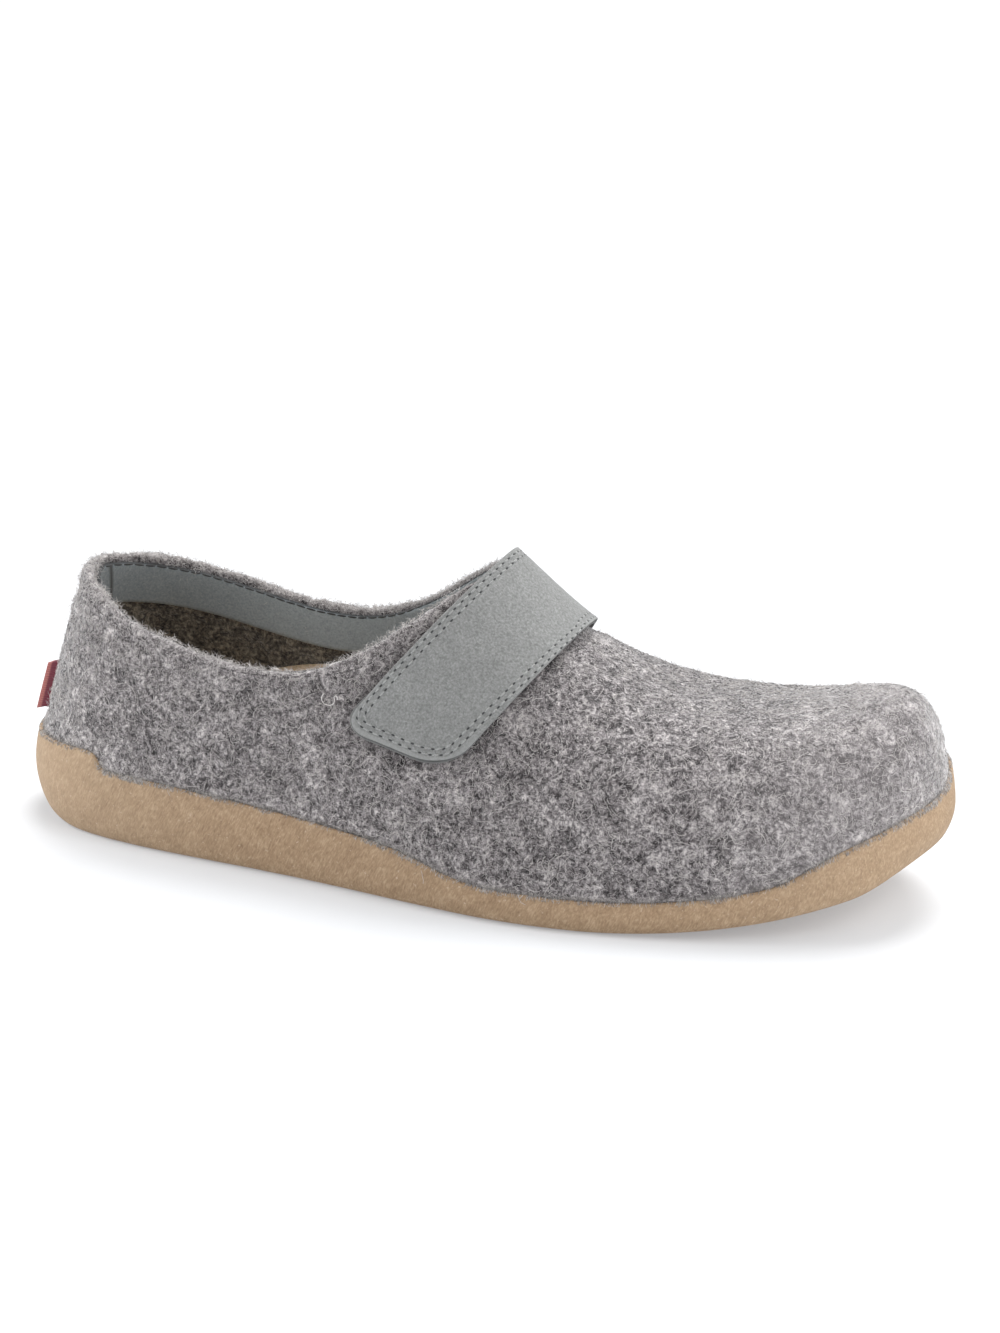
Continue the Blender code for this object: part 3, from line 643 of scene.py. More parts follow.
# %% Footbed and facing
HEEL_JOINT = -126.4 * MM
JOINT_LEAN = -0.208
JOINT_WIDTH = 0.45 * MM
TOP_EDGE = 0.35
TOP_FADE = 0.3
FOOTBED_CREASE = 0.3
FACING_CREASE = 0.4
FOOTBED_BUMP = 0.12 * MM
FACING_BUMP = 0.08 * MM
DARK_FROM = -89 * MM
DARK_TO = -62 * MM

footbed = smooth_copy("insole", "suede_footbed", crease=FOOTBED_CREASE)
bed_suede, tree, _, colour, relief = suede(
    "tan_suede_footbed", "#B79C7C", "#CDB292", "#DFC6A8", FOOTBED_BUMP
)
finish_suede(tree, colour, relief)
dress(footbed, bed_suede, "insole")

facing = smooth_copy("collar_facing", "suede_facing", crease=FACING_CREASE)
facing_suede, tree, place, colour, relief = suede(
    "grey_facing_suede", "#899195", "#98A0A4", "#A8AFB4", FACING_BUMP
)
beside = add(tree, "SeparateXYZ", {0: place})
# Painted shade: the band is painted darker towards the heel.
at_heel = add(tree, "MapRange", {"Value": beside, "From Min": DARK_TO, "From Max": DARK_FROM})
toned = add(
    tree, "MixRGB", {"Fac": at_heel, "Color1": colour, "Color2": linear("#E5E5E5")}, blend_type="MULTIPLY"
)
along = add(tree, "VectorMath", {0: place, 1: (1, 0, JOINT_LEAN)}, output="Value", operation="DOT_PRODUCT")
off_joint = add(tree, "Math", {0: along, 1: HEEL_JOINT}, operation="SUBTRACT")
apart = add(tree, "Math", {0: off_joint}, operation="ABSOLUTE")
joint = add(tree, "MapRange", {"Value": apart, "From Min": JOINT_WIDTH, "From Max": 0.0})
joined = add(tree, "MixRGB", {"Fac": joint, "Color1": toned, "Color2": linear("#4A4B4B")})
mark(facing.data, "top_edge", ease((normals_of(facing.data)[:, 2] - TOP_EDGE) / TOP_FADE))
shaded = add(tree, "Attribute", output="Fac", attribute_name="top_edge")
edged = add(tree, "MixRGB", {"Fac": shaded, "Color1": joined, "Color2": linear("#3C3D3E")})
finish_suede(tree, edged, relief)
dress(facing, facing_suede, "collar_facing")
print("footbed", triangles(footbed), "facing", triangles(facing), "triangles")

# %% [markdown]
# ## The strap
# Two layers of suede, glued and sewn together, lie over the instep. The joint between the layers
# shows as a fine groove along the cut edge, and at the free end the lower layer reaches out a little
# further. The distance of a point from the felt says how high in the strap it lies: points half way
# up are drawn in, and those below are moved out near the free end.

# %% Strap
STRAP_GAP = 0.3 * MM
STRAP_THICKNESS = 2.0 * MM
GROOVE = 0.3 * MM
GROOVE_AT = 0.52
GROOVE_HALF = 0.12
GROOVE_FLAT = 1.6
LOWER_LIP = 0.9 * MM
LIP_TOP = 0.55
LIP_FADE = 0.2
LIP_FROM = 0.75
LIP_RISE = 0.15
CUT_TOP = 0.93
CUT_FADE = 0.1

points, normals = coordinates(strap.data), normals_of(strap.data)
_, felt_normals, rise = nearest(trees["upper"], points)
layer = np.clip((rise - STRAP_GAP) / STRAP_THICKNESS, 0, 1)
groove = np.clip(GROOVE_FLAT - np.abs(layer - GROOVE_AT) / GROOVE_HALF, 0, 1)
lip = LOWER_LIP * ease((LIP_TOP - layer) / LIP_FADE) * ease((to_end - LIP_FROM) / LIP_RISE)
sideward = normals - felt_normals * np.einsum("ij,ij->i", normals, felt_normals)[:, None]
strap_tree, flush_points = tree_of(strap.data), points
move_points(strap.data, points + sideward * (lip - GROOVE * groove)[:, None])
mark(strap.data, "groove", groove)
mark(strap.data, "cut_edge", ease((CUT_TOP - layer) / CUT_FADE))
print("points in the groove", int((groove > 0.5).sum()))

# %% [markdown]
# ## A ruler on the strap
# The seams run at an even distance from the strap's edge, so the strap needs a ruler of its own:
# how far a place is from the ridge along the strap, and how far from its middle line across it.
# Rays from outside towards a line inside the instep find the strap's top in rows. The lengths of
# the rows are the ruler, and their ends give the strap's outline.

# %% Ruler on the strap
sideways = np.array([0, 1.0, 0])
HEART_RISE = 12 * MM
RAY_START = 120 * MM
FACING_RAY = 0.5
NOWHERE = (9.0, 9.0, 9.0)
ROW_JUMP = 1.5 * MM
ROW_REACH = 0.95
ROW_SHARES = np.sin(np.linspace(-0.5, 0.5, 41) * math.pi)
SWINGS = np.linspace(-2.6, 2.6, 1041)

reach = flush_points @ across_strap
strap_middle = (reach.min() + reach.max()) / 2
strap_half = (reach.max() - reach.min()) / 2
heart = (flush_points @ off_instep).min() + HEART_RISE


def from_above(swing, offset):
    """Place and normal where a ray meets the strap's top, at a swing and an offset across, or None."""
    out = off_instep * math.cos(swing) + sideways * math.sin(swing)
    inner = across_strap * (strap_middle + offset) + off_instep * heart
    place, normal, _, _ = strap_tree.ray_cast(Vector(inner + out * RAY_START), Vector(-out))
    if place is None or normal.dot(Vector(out)) < FACING_RAY:
        return None
    return np.array(place), np.array(normal)


def row_across(offset):
    """Swings and places of one row, from the ridge out to both ends of the strap."""
    hits = [from_above(swing, offset) for swing in SWINGS]
    places = np.array([hit[0] if hit else NOWHERE for hit in hits])
    joined = np.linalg.norm(np.diff(places, axis=0), axis=1) < ROW_JUMP
    joined &= np.all(places[1:] != NOWHERE, axis=1)
    start = min((i for i, hit in enumerate(hits) if hit), key=lambda i: abs(SWINGS[i]))
    first = start - int(np.argmin(np.append(joined[:start][::-1], False)))
    last = start + int(np.argmin(np.append(joined[start:], False)))
    return SWINGS[first:last + 1], places[first:last + 1]


row_offsets = ROW_REACH * ROW_SHARES * strap_half
row_swings, row_lengths = [], []
for offset in row_offsets:
    swings, places = row_across(offset)
    steps = np.linalg.norm(np.diff(places, axis=0), axis=1)
    lengths = np.concatenate([[0], np.cumsum(steps)])
    row_swings.append(swings)
    row_lengths.append(lengths - np.interp(0, swings, lengths))


def settled(values):
    """Values along the rows without single outliers: the middle one of each five neighbours."""
    padded = np.pad(values, 2, mode="edge")
    return np.median([padded[i:i + len(values)] for i in range(5)], axis=0)


outer_ends = np.stack([settled([lengths[0] for lengths in row_lengths]), ROW_SHARES * strap_half], axis=1)
inner_ends = np.stack([settled([lengths[-1] for lengths in row_lengths]), ROW_SHARES * strap_half], axis=1)
strap_outline = np.concatenate([outer_ends, inner_ends[::-1], outer_ends[:1]])


def on_strap(length, offset):
    """Place and normal on the strap's top at a length along it and an offset across it."""
    swings = [np.interp(length, lengths, swings) for lengths, swings in zip(row_lengths, row_swings)]
    return from_above(np.interp(offset, row_offsets, swings), offset)


print("strap outline in mm, low and high:", strap_outline.min(axis=0) / MM, strap_outline.max(axis=0) / MM)

# %% [markdown]
# ## Seams of the strap
# Two rows of stitches run round the strap, one about 1.7 mm and one 3.4 mm from its edge. They press
# the suede down, so soft welts stand up between them and the edge. Each stitch is a short thread
# between two needle holes. One thread, and one dark bead as the painted shade of a hole, are modelled
# and copied along the rows.

# %% Seams of the strap
STITCH_PITCH = 2.9 * MM
SEAM_INSETS = (1.7 * MM, 3.4 * MM)
PATH_STEP = 0.5 * MM
OUTLINE_ROUNDS = 16
SEAM_WIDTH = 0.9 * MM
SEAM_DEPTH = 0.22 * MM
WELT = 1.9 * MM
WELT_INSET = 0.4 * MM
TOP_LAYER = 0.9
PLY = 0.35 * MM
THREAD_SIZE = (2.0 * MM, 0.6 * MM, 0.5 * MM)
HOLE_SHADE_SIZE = (1.1 * MM, 0.6 * MM, 0.3 * MM)


def even_steps(path, pitch):
    """Points at even steps along a path, as near the pitch as fits."""
    lengths = np.concatenate([[0], np.cumsum(np.linalg.norm(np.diff(path, axis=0), axis=1))])
    count = max(int(round(lengths[-1] / pitch)), 1)
    marks = np.linspace(0, lengths[-1], count + 1)
    return np.stack([np.interp(marks, lengths, path[:, i]) for i in range(path.shape[1])], axis=1)


def drawn_in(path, inset):
    """A closed outline drawn in by an inset, rounded where its corners are tight."""
    ring = even_steps(path, PATH_STEP)[:-1]
    for _ in range(OUTLINE_ROUNDS):
        ring = (np.roll(ring, 1, axis=0) + 2 * ring + np.roll(ring, -1, axis=0)) / 4
    along = np.roll(ring, -1, axis=0) - np.roll(ring, 1, axis=0)
    inward = np.stack([along[:, 1], -along[:, 0]], axis=1)
    inward /= np.linalg.norm(inward, axis=1)[:, None]
    if np.einsum("ij,ij->", inward, ring.mean(axis=0) - ring) < 0:
        inward = -inward
    ring = ring + inset * inward
    return np.concatenate([ring, ring[:1]])


def bead(size, segments=8, rings=5):
    """A rounded bead of a given length, width and height, as a template: its points and faces."""
    bpy.ops.object.select_all(action="DESELECT")
    bpy.ops.mesh.primitive_uv_sphere_add(segments=segments, ring_count=rings, radius=0.5)
    shape = bpy.context.active_object
    bpy.ops.object.mode_set(mode="EDIT")
    bpy.ops.transform.rotate(value=math.pi / 2, orient_axis="Y", center_override=(0, 0, 0))
    bpy.ops.transform.resize(value=size, center_override=(0, 0, 0))
    bpy.ops.object.mode_set(mode="OBJECT")
    template = coordinates(shape.data), [list(face.vertices) for face in shape.data.polygons]
    bpy.data.objects.remove(shape)
    return template


def new_piece(name, points, faces, material):
    """A piece of the slipper from points and faces, smooth, finished and riding on its body."""
    mesh = bpy.data.meshes.new(name)
    mesh.from_pydata(points.tolist(), [], faces.tolist())
    mesh.shade_smooth()
    mesh.materials.append(material)
    piece = bpy.data.objects.new(name, mesh)
    bpy.context.collection.objects.link(piece)
    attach(piece, "root")
    return piece


def copies(name, template, places, tangents, normals, material, slot):
    """One joined mesh with a copy of a template at each place, along the tangent and the normal."""
    shape, faces = template
    normals = normals / np.linalg.norm(normals, axis=1)[:, None]
    tangents = tangents - normals * np.einsum("ij,ij->i", tangents, normals)[:, None]
    tangents = tangents / np.linalg.norm(tangents, axis=1)[:, None]
    axes = np.stack([tangents, np.cross(normals, tangents), normals], axis=1)
    points = places[:, None, :] + np.einsum("vk,nkc->nvc", shape, axes)
    starts = np.arange(len(places)) * len(shape)
    rows = np.array([[i + start for i in face] for start in starts for face in faces], dtype=object)
    return new_piece(name, points.reshape(-1, 3), rows, material)


def twisted_thread(name, dark, light):
    """Spun thread: fine bands of light and dark where its plies turn."""
    material, tree, place = new_material(name)
    plies = add(tree, "TexNoise", {"Vector": place, "Scale": 1 / PLY, "Detail": 1.0})
    colour = add(tree, "ValToRGB", {0: plies}, stops=[(0.35, dark), (0.65, light)])
    finish_material(tree, Base_Color=colour, Roughness=0.8, Sheen_Weight=0.2)
    return material


def near_path(points, path):
    """How far each point is from the nearest point of a path."""
    finder = KDTree(len(path))
    for i, place in enumerate(path):
        finder.insert(Vector(place), i)
    finder.balance()
    return np.array([finder.find(Vector(p))[2] for p in points])


def laid_on_strap(path):
    """Places on the strap's top along a path of lengths and offsets."""
    return np.array([hit[0] for hit in (on_strap(*spot) for spot in path) if hit])


points, normals = coordinates(strap.data), normals_of(strap.data)
on_top = layer > TOP_LAYER
pressed = np.zeros(len(points))
for inset in SEAM_INSETS:
    away = near_path(points, laid_on_strap(drawn_in(strap_outline, inset)))
    pressed = np.maximum(pressed, ease(1 - away / SEAM_WIDTH))
welt = ease(1 - near_path(points, laid_on_strap(drawn_in(strap_outline, WELT_INSET))) / WELT)
move_points(strap.data, points - normals * (SEAM_DEPTH * pressed * on_top)[:, None])
mark(strap.data, "welt", welt * on_top * (1 - pressed))
strap_tree = tree_of(strap.data)

strap_thread = twisted_thread("grey_sewing_thread", "#8A8B8A", "#A6A7A6")
# Painted shade: each needle hole is a dark bead that stands for the shade inside it.
hole_shade = twisted_thread("painted_hole_shade", "#2E2F30", "#3C3D3E")
threads, hole_shades = [], []
for inset in SEAM_INSETS:
    marks = even_steps(drawn_in(strap_outline, inset), STITCH_PITCH)
    middles = (marks[:-1] + marks[1:]) / 2
    for kind, spots in ((hole_shades, marks[:-1]), (threads, middles)):
        for spot, ahead_of in zip(spots, np.roll(spots, -1, axis=0)):
            here, there = on_strap(*spot), on_strap(*ahead_of)
            if here and there:
                kind.append((here[0], there[0] - here[0], here[1]))
print("stitches", len(threads), "hole_shades", len(hole_shades))

for name, size, rows, material in (
    ("strap_threads", THREAD_SIZE, threads, strap_thread),
    ("strap_hole_shades", HOLE_SHADE_SIZE, hole_shades, hole_shade),
):
    copies(name, bead(size), *map(np.array, zip(*rows)), material, "grey_strap_suede")

# %% [markdown]
# ## Seams at the collar
# A row of dark stitches holds the facing just below its upper edge. The same seam shows on the
# outside of the felt as a faint row, sunk in the wool a little below the edge of the collar. Rays
# from the middle of the opening find the height of the facing all round.

# %% Seams at the collar
COLLAR_HEART = np.array([-55, 0, 0]) * MM
COLLAR_TURNS = np.radians(np.arange(14, 347, 1.0))
COLLAR_HEIGHTS = np.arange(90, 44, -0.25) * MM
FACING_DROP = 0.5 * MM
COLLAR_PITCH = 3.3 * MM
FAR_OUT = 120 * MM
FACING_STITCH = (3.1 * MM, 0.7 * MM, 0.45 * MM)
SUNK_STITCH = (2.0 * MM, 0.5 * MM, 0.6 * MM)

facing_tree = tree_of(facing.data)
felt_tree = tree_of(upper.data)
facing_path, felt_path = [], []
for turn in COLLAR_TURNS:
    out = np.array([math.cos(turn), math.sin(turn), 0])
    for height in COLLAR_HEIGHTS:
        start = COLLAR_HEART + np.array([0, 0, height])
        if facing_tree.ray_cast(Vector(start), Vector(out))[0] is not None:
            low = start - np.array([0, 0, FACING_DROP])
            hit = facing_tree.ray_cast(Vector(low), Vector(out))[0]
            back = felt_tree.ray_cast(Vector(start + out * FAR_OUT), Vector(-out))[0]
            if hit is not None and back is not None:
                facing_path.append(np.array(hit))
                felt_path.append(np.array(back))
            break

facing_thread = twisted_thread("dark_grey_thread", "#2B2C2D", "#3A3B3C")
felt_thread = twisted_thread("sunk_grey_thread", "#454142", "#5A5556")
for name, size, path, tree, material, slot in (
    ("facing_threads", FACING_STITCH, facing_path, facing_tree, facing_thread, "grey_facing_suede"),
    ("collar_threads", SUNK_STITCH, felt_path, felt_tree, felt_thread, "grey_wool_felt"),
):
    marks = even_steps(np.array(path), COLLAR_PITCH)
    middles = (marks[:-1] + marks[1:]) / 2
    places, normals, _ = nearest(tree, middles)
    copies(name, bead(size), places, np.diff(marks, axis=0), normals, material, slot)
print("collar stitches", len(middles))

# %% [markdown]
# ## Finish of the strap
# The suede is darker on its cut edge and darkest in the groove between the layers. Along the welt
# by the edge it is painted a little lighter.

# %% Finish of the strap
STRAP_BUMP = 0.14 * MM
WELT_LIGHTER = 0.6

strap_suede, tree, _, colour, relief = suede("grey_strap_suede", "#747574", "#878887", "#9C9D9C", STRAP_BUMP)
# Lighter along the welt by the edge.
lighter_share = add(tree, "Attribute", output="Fac", attribute_name="welt")
half_lighter = add(tree, "Math", {0: lighter_share, 1: WELT_LIGHTER}, operation="MULTIPLY")
lightened = add(tree, "MixRGB", {"Fac": half_lighter, "Color1": colour, "Color2": linear("#9B9C9B")})
cut = add(tree, "Attribute", output="Fac", attribute_name="cut_edge")
raw = add(tree, "MixRGB", {"Fac": cut, "Color1": lightened, "Color2": linear("#7A7B7A")})
line = add(tree, "Attribute", output="Fac", attribute_name="groove")
lined = add(tree, "MixRGB", {"Fac": line, "Color1": raw, "Color2": linear("#444545")})
finish_suede(tree, lined, relief)
dress(strap, strap_suede, "strap")
print("strap nodes", len(tree.nodes))

# %% [markdown]
# ## Where loose wool fibres grow
# Single fibres stand out of fulled wool. Short ones, light and dark, lie in the surface in loose
# clusters, a few longer ones curl over it, a fine fuzz stands off it and softens the outline, and
# some lie over the edge of the rubber. They start at random places, weighted by the area of the
# felt's triangles, where neither strap nor rubber covers it. Dark ones are fewer at the toe, where
# light is painted, and at the collar. They are drawn about three times thicker than wool, which is
# too fine to see.

# %% Places for loose wool
Wool = namedtuple("Wool", "name count length segments radius curl lift lean tones")
WOOL = (
    Wool("wool_light", 30000, 1.5 * MM, 2, 0.080 * MM, 0.5, 0.10 * MM, 1.2, ("#9A9494", "#D6D1CF")),
    Wool("wool_dark", 26000, 1.2 * MM, 2, 0.085 * MM, 0.5, 0.09 * MM, -1.2, ("#211F20", "#403C3D")),
    Wool("wool_curls", 3600, 5.0 * MM, 6, 0.062 * MM, 0.55, 0.24 * MM, 0.5, ("#B4AEAC", "#E4DFDC")),
)
RIM_WOOL = Wool("wool_rim", 7500, 1.15 * MM, 3, 0.07 * MM, 0.5, 0.18 * MM, 0.0, ("#4A4647", "#D4CDC8"))
FUZZ = Wool("wool_fuzz", 16000, 1.3 * MM, 2, 0.055 * MM, 0.0, 0.0, 0.0, ("#9A9494", "#DAD5D2"))
EDGE_WOOL = Wool("wool_edge", 6000, 1.7 * MM, 2, 0.065 * MM, 0.0, 0.0, 0.0, ("#9A9493", "#DCD7D4"))
CLUSTER = 4.5 * MM
CLUSTER_PULL = 2.0
UNDER_STRAP = 0.5 * MM
PALE_FEWER = 0.8
COLLAR_FEWER = 0.7

rng = np.random.default_rng(11)
points = coordinates(upper.data)
upper.data.calc_loop_triangles()
corners = np.array([triangle.vertices[:] for triangle in upper.data.loop_triangles])
open_felt = ~(turned_in & below_facing) & (from_strap > UNDER_STRAP) & (from_sole > UNDER_RUBBER)
ends = points[corners]
area = np.linalg.norm(np.cross(ends[:, 1] - ends[:, 0], ends[:, 2] - ends[:, 0]), axis=1) / 2
rim_area = area.copy()
area *= open_felt[corners].all(axis=1)
cluster = np.array([noise.noise(Vector(p / CLUSTER)) for p in ends.mean(axis=1)])
no_dark = 1 - np.maximum(PALE_FEWER * pale, COLLAR_FEWER * collar)[corners].mean(axis=1)
both = bpy.data.meshes.new("felt_and_sole")
sole_points = coordinates(sole.data)
faces = [list(f.vertices) for f in upper.data.polygons if open_felt[list(f.vertices)].any()]
faces += [[i + len(points) for i in f.vertices] for f in sole.data.polygons]
both.from_pydata(np.concatenate([points, sole_points]).tolist(), [], faces)
skin_tree = tree_of(both)
bpy.data.meshes.remove(both)
print("open felt", round(area.sum() * 1e4, 1), "square centimetres")


def scatter(count, weights):
    """Random places on the felt, with its normals there."""
    chosen = rng.choice(len(corners), count, p=weights / weights.sum())
    root, split = np.sqrt(rng.random(count)), rng.random(count)
    shares = np.stack([1 - root, root * (1 - split), root * split], axis=1)
    return nearest(skin_tree, np.einsum("nk,nkc->nc", shares, ends[chosen]))[:2]


# %% [markdown]
# ## How a fibre lies
# Three ways are enough. A fibre wanders over the surface step by step and each step is laid back on
# the nearest wool. Or it stands off the surface and leans over. Or it hangs from the felt over the
# rubber, and rays from outside lay its points on whatever is outermost there.

# %% Ways of a fibre
HANG_REACH = 15 * MM
HANG_LIMIT = 18 * MM
STEP_SPREAD = (0.6, 1.3)
LIFT_SPREAD = (0.3, 1.6)
TALL_SPREAD = (0.4, 1.4)
RISE_SPREAD = (0.15, 0.9)
MIDDLE_RISE = 0.6
MIDDLE_LEAN = 0.35
HANG_SLANT = 0.6
HANG_SPREAD = (0.4, 1.2)
HANG_LIFT = (0.1, 1.0)


def flat_to(directions, normals):
    """Directions laid into the surface, at unit length."""
    laid = directions - normals * np.einsum("ij,ij->i", directions, normals)[:, None]
    return laid / np.linalg.norm(laid, axis=1)[:, None]


def wander(row, places, normals):
    """Paths over the surface: each turns at its own rate and lifts off it in the middle."""
    step = (row.length / row.segments * rng.uniform(*STEP_SPREAD, len(places)))[:, None]
    heading = flat_to(rng.normal(size=places.shape), normals)
    bend = rng.normal(0, row.curl, len(places))
    path = [places - normals * row.radius]
    for k in range(1, row.segments + 1):
        turn = (bend + rng.normal(0, row.curl / 2, len(places)))[:, None]
        heading = np.cos(turn) * heading + np.sin(turn) * np.cross(normals, heading)
        places, normals, _ = nearest(skin_tree, places + heading * step)
        heading = flat_to(heading, normals)
        arch = math.sin(math.pi * k / row.segments)
        lift = row.lift * arch * rng.uniform(*LIFT_SPREAD, len(places))
        path.append(places + normals * (lift - row.radius * (k == row.segments))[:, None])
    return np.stack(path, axis=1)


def stand(row, places, normals):
    """Short fibres that stand off the surface and lean over."""
    tall = (row.length * rng.uniform(*TALL_SPREAD, len(places)))[:, None]
    lean = flat_to(rng.normal(size=places.shape), normals)
    rise = rng.uniform(*RISE_SPREAD, len(places))[:, None]
    middle = places + tall * (MIDDLE_RISE * rise * normals + MIDDLE_LEAN * lean)
    tip = places + tall * (rise * normals + lean)
    return np.stack([places - normals * row.radius, middle, tip], axis=1)


def upright(count):
    """As many vertical directions as there are places."""
    return np.tile((0.0, 0.0, 1.0), (count, 1))


def hang(row, places, normals):
    """Paths that hang from the felt over the rubber: each point lies on whatever is outermost there."""
    outward = flat_to(normals, upright(len(places)))
    sideward = np.cross(outward, (0, 0, 1))
    slant = sideward * rng.normal(0, HANG_SLANT, len(places))[:, None] - (0, 0, 1)
    step = row.length / row.segments * rng.uniform(*HANG_SPREAD, len(places))
    path = [places - normals * row.radius]
    for k in range(1, row.segments + 1):
        spots = places + slant * (k * step)[:, None]
        starts = spots + outward * HANG_REACH
        hits = [skin_tree.ray_cast(Vector(a), Vector(-b), HANG_LIMIT)[0] for a, b in zip(starts, outward)]
        laid = np.array([spot if hit is None else hit for spot, hit in zip(spots, hits)])
        path.append(laid + outward * (row.lift * rng.uniform(*HANG_LIFT, len(places)))[:, None])
    return np.stack(path, axis=1)


# %% [markdown]
# ## Fibres as tubes
# A fibre is a thin closed tube with three sides that ends in points, so that thousands of them stay
# light. All fibres of a kind are one mesh, and each has a tone of its own between two colours.

# %% Fibres as tubes
SIDES = 3


def tubes(row, paths):
    """One mesh of closed tubes, pointed at both ends, each with a tone of its own."""
    count, size, _ = paths.shape
    along = paths[:, 2:] - paths[:, :-2]
    along /= np.linalg.norm(along, axis=2)[:, :, None]
    u = np.cross(along, rng.normal(size=(count, 1, 3)))
    u /= np.linalg.norm(u, axis=2)[:, :, None]
    v = np.cross(along, u)
    angles = 2 * math.pi * np.arange(SIDES) / SIDES
    spokes = np.cos(angles)[:, None] * u[:, :, None, :] + np.sin(angles)[:, None] * v[:, :, None, :]
    rings = (paths[:, 1:-1, None, :] + row.radius * spokes).reshape(count, -1, 3)
    shapes = np.concatenate([paths[:, :1], rings, paths[:, -1:]], axis=1)
    last = shapes.shape[1] - 1
    faces = []
    for k in range(SIDES):
        n = (k + 1) % SIDES
        faces.append((0, 1 + n, 1 + k))
        for r in range(size - 3):
            low, high = 1 + SIDES * r, 1 + SIDES * (r + 1)
            faces += [(low + k, low + n, high + n), (low + k, high + n, high + k)]
        faces.append((last - SIDES + k, last - SIDES + n, last))
    starts = np.arange(count)[:, None, None] * (last + 1)
    material, tree, _ = new_material(row.name)
    tone = add(tree, "Attribute", output="Fac", attribute_name="tone")
    colour = add(tree, "ValToRGB", {0: tone}, stops=[(0.0, row.tones[0]), (1.0, row.tones[1])])
    finish_material(tree, Base_Color=colour, Roughness=0.9, Sheen_Weight=0.6, Specular_IOR_Level=0.2)
    all_faces = (np.array(faces)[None] + starts).reshape(-1, 3)
    piece = new_piece(row.name, shapes.reshape(-1, 3), all_faces, material)
    mark(piece.data, "tone", np.repeat(rng.random(count), last + 1))
    print(row.name, triangles(piece), "triangles")


for row in WOOL:
    weights = area * np.exp(row.lean * CLUSTER_PULL * cluster) * (no_dark if row.lean < 0 else 1)
    tubes(row, wander(row, *scatter(row.count, weights)))
tubes(FUZZ, stand(FUZZ, *scatter(FUZZ.count, area)))

# %% [markdown]
# ## Wool over the rubber and at the collar
# Fibres at the edge of the rubber have to start just above it, on wool that the rubber doesn't
# cover and that is turned outwards. More places are tried than are needed, and the good ones kept.
# At the collar, short fibres stand on the upper side of the cut edge.

# %% Wool over the rubber and at the collar
COVER_REACH = 8 * MM
TURNED_OUT = 0.4
RIM_BAND = 1.3 * MM
RIM_TRIES = 14

by_rubber = rim_area * (from_sole[corners].min(axis=1) < RIM_BAND) * ~turned_in[corners].any(axis=1)
by_rubber *= np.exp(CLUSTER_PULL * cluster)
places, normals = scatter(RIM_TRIES * RIM_WOOL.count, by_rubber)
near = nearest(trees["outsole"], places)[2] < RIM_BAND
rays = [(Vector(a), Vector(b), COVER_REACH) for a, b in zip(places, normals)]
near &= np.array([trees["outsole"].ray_cast(*ray)[0] is None for ray in rays])
outward = flat_to(off_axis(places), upright(len(places)))
near &= np.einsum("ij,ij->i", normals, outward) > TURNED_OUT
kept = np.flatnonzero(near)[:RIM_WOOL.count]
tubes(RIM_WOOL, hang(RIM_WOOL, places[kept], normals[kept]))

turned = np.cross(ends[:, 1] - ends[:, 0], ends[:, 2] - ends[:, 0])
turned /= np.maximum(np.linalg.norm(turned, axis=1), 1e-12)[:, None]
at_edge = area * collar[corners].mean(axis=1) ** 2 * ease(turned[:, 2] * 2)
tubes(EDGE_WOOL, stand(EDGE_WOOL, *scatter(EDGE_WOOL.count, at_edge)))

# %% [markdown]
# ## A loose curl
# One longer fibre has worked loose behind the strap. It lies on the felt in a small open loop. A
# loop is drawn from the side, and rays lay each of its points on the wool.

# %% Loose curl
CURL = Wool("wool_loose_curl", 1, 0.0, 0, 0.13 * MM, 0.0, 0.45 * MM, 0.0, ("#E8E4E1", "#F4F0EE"))
CURL_MIDDLE = np.array([-26.9, -60, 51.4]) * MM
CURL_WIDE = 2.1 * MM
CURL_TALL = 1.7 * MM
CURL_TAIL = 4.2 * MM
CURL_TURNS = np.linspace(0.7, 2.75, 24) * math.pi
TAIL_FROM = 2.1 * math.pi
TAIL_OPENS = 0.65 * math.pi
TAIL_FLAT = 0.8

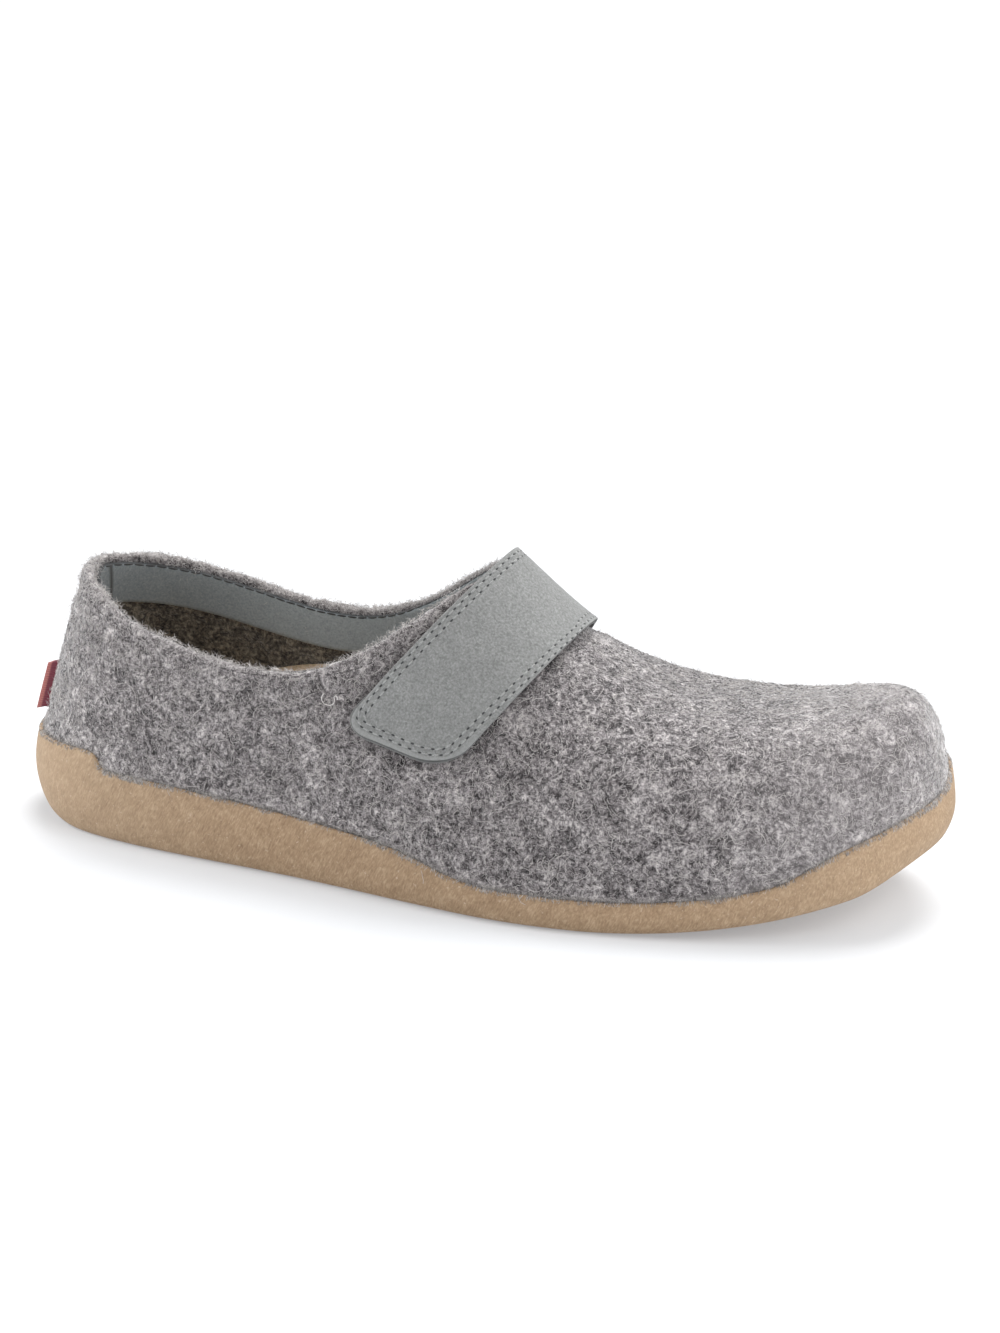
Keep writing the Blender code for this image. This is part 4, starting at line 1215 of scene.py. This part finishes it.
path = []
for turn in CURL_TURNS:
    opening = ease((turn - TAIL_FROM) / TAIL_OPENS)
    across = CURL_WIDE * math.cos(turn) + CURL_TAIL * opening
    upward = CURL_TALL * math.sin(turn) * (1 - TAIL_FLAT * opening)
    start = CURL_MIDDLE + np.array([across, 0, upward])
    place, normal, _, _ = felt_tree.ray_cast(Vector(start), Vector((0, 1, 0)))
    path.append(np.array(place) + np.array(normal) * CURL.lift)
tubes(CURL, np.array([path]))

# %% [markdown]
# ## The heel tab
# A short loop of red woven ribbon is caught in the back seam. Its fold is painted a lighter red as
# painted light, and by the felt it is painted dark maroon as painted shade. It is left plain. The weave
# is a fine rib.

# %% Heel tab
RIB = 0.7 * MM
RIB_SHADE = 0.25
RIB_BUMP = 0.12 * MM
WAVE_BAND = 0.31  # The length of one band of a wave texture at scale 1.
TAB_CREASE = 0.4
TAB_LEAN = 0.30
TAB_REACH = 3.3 * MM
FOLD_DROP = 1.0 * MM
FOLD_WIDTH = 1.6 * MM
FOLD_EDGE = 0.6 * MM

tab = smooth_copy("heel_tab", "red_ribbon_tab", crease=TAB_CREASE)
points = coordinates(tab.data)
reach = points @ np.array([1, 0, -TAB_LEAN])
fold = reach.min()
hanging = np.clip(1 - (reach - fold) / TAB_REACH, 0, 1)
move_points(tab.data, points - np.outer(FOLD_DROP * hanging, (0, 0, 1)))
ribbon, tree, place = new_material("red_woven_ribbon")
weave = add(
    tree, "TexWave", {"Vector": place, "Scale": WAVE_BAND / RIB, "Distortion": 0.4}, bands_direction="Z"
)
along = add(tree, "VectorMath", {0: place, 1: (1, 0, -TAB_LEAN)}, output="Value", operation="DOT_PRODUCT")
# Painted light and shade: lighter red at the fold, dark maroon by the felt.
inward = add(tree, "MapRange", {
    "Value": along,
    "From Min": fold + FOLD_WIDTH,
    "From Max": fold + FOLD_WIDTH + FOLD_EDGE,
})
body = add(tree, "MixRGB", {"Fac": inward, "Color1": linear("#A8645E"), "Color2": linear("#661028")})
ribbed = add(tree, "Math", {0: weave, 1: RIB_SHADE}, operation="MULTIPLY")
colour = add(tree, "MixRGB", {"Fac": ribbed, "Color1": body, "Color2": linear("#4A1018")})
relief = add(tree, "Bump", {"Height": weave, "Distance": RIB_BUMP, "Strength": 1.0})
finish_material(tree, Base_Color=colour, Roughness=0.75, Normal=relief, Sheen_Weight=0.2)
dress(tab, ribbon, "heel_tab")
print("tab", triangles(tab), "triangles")
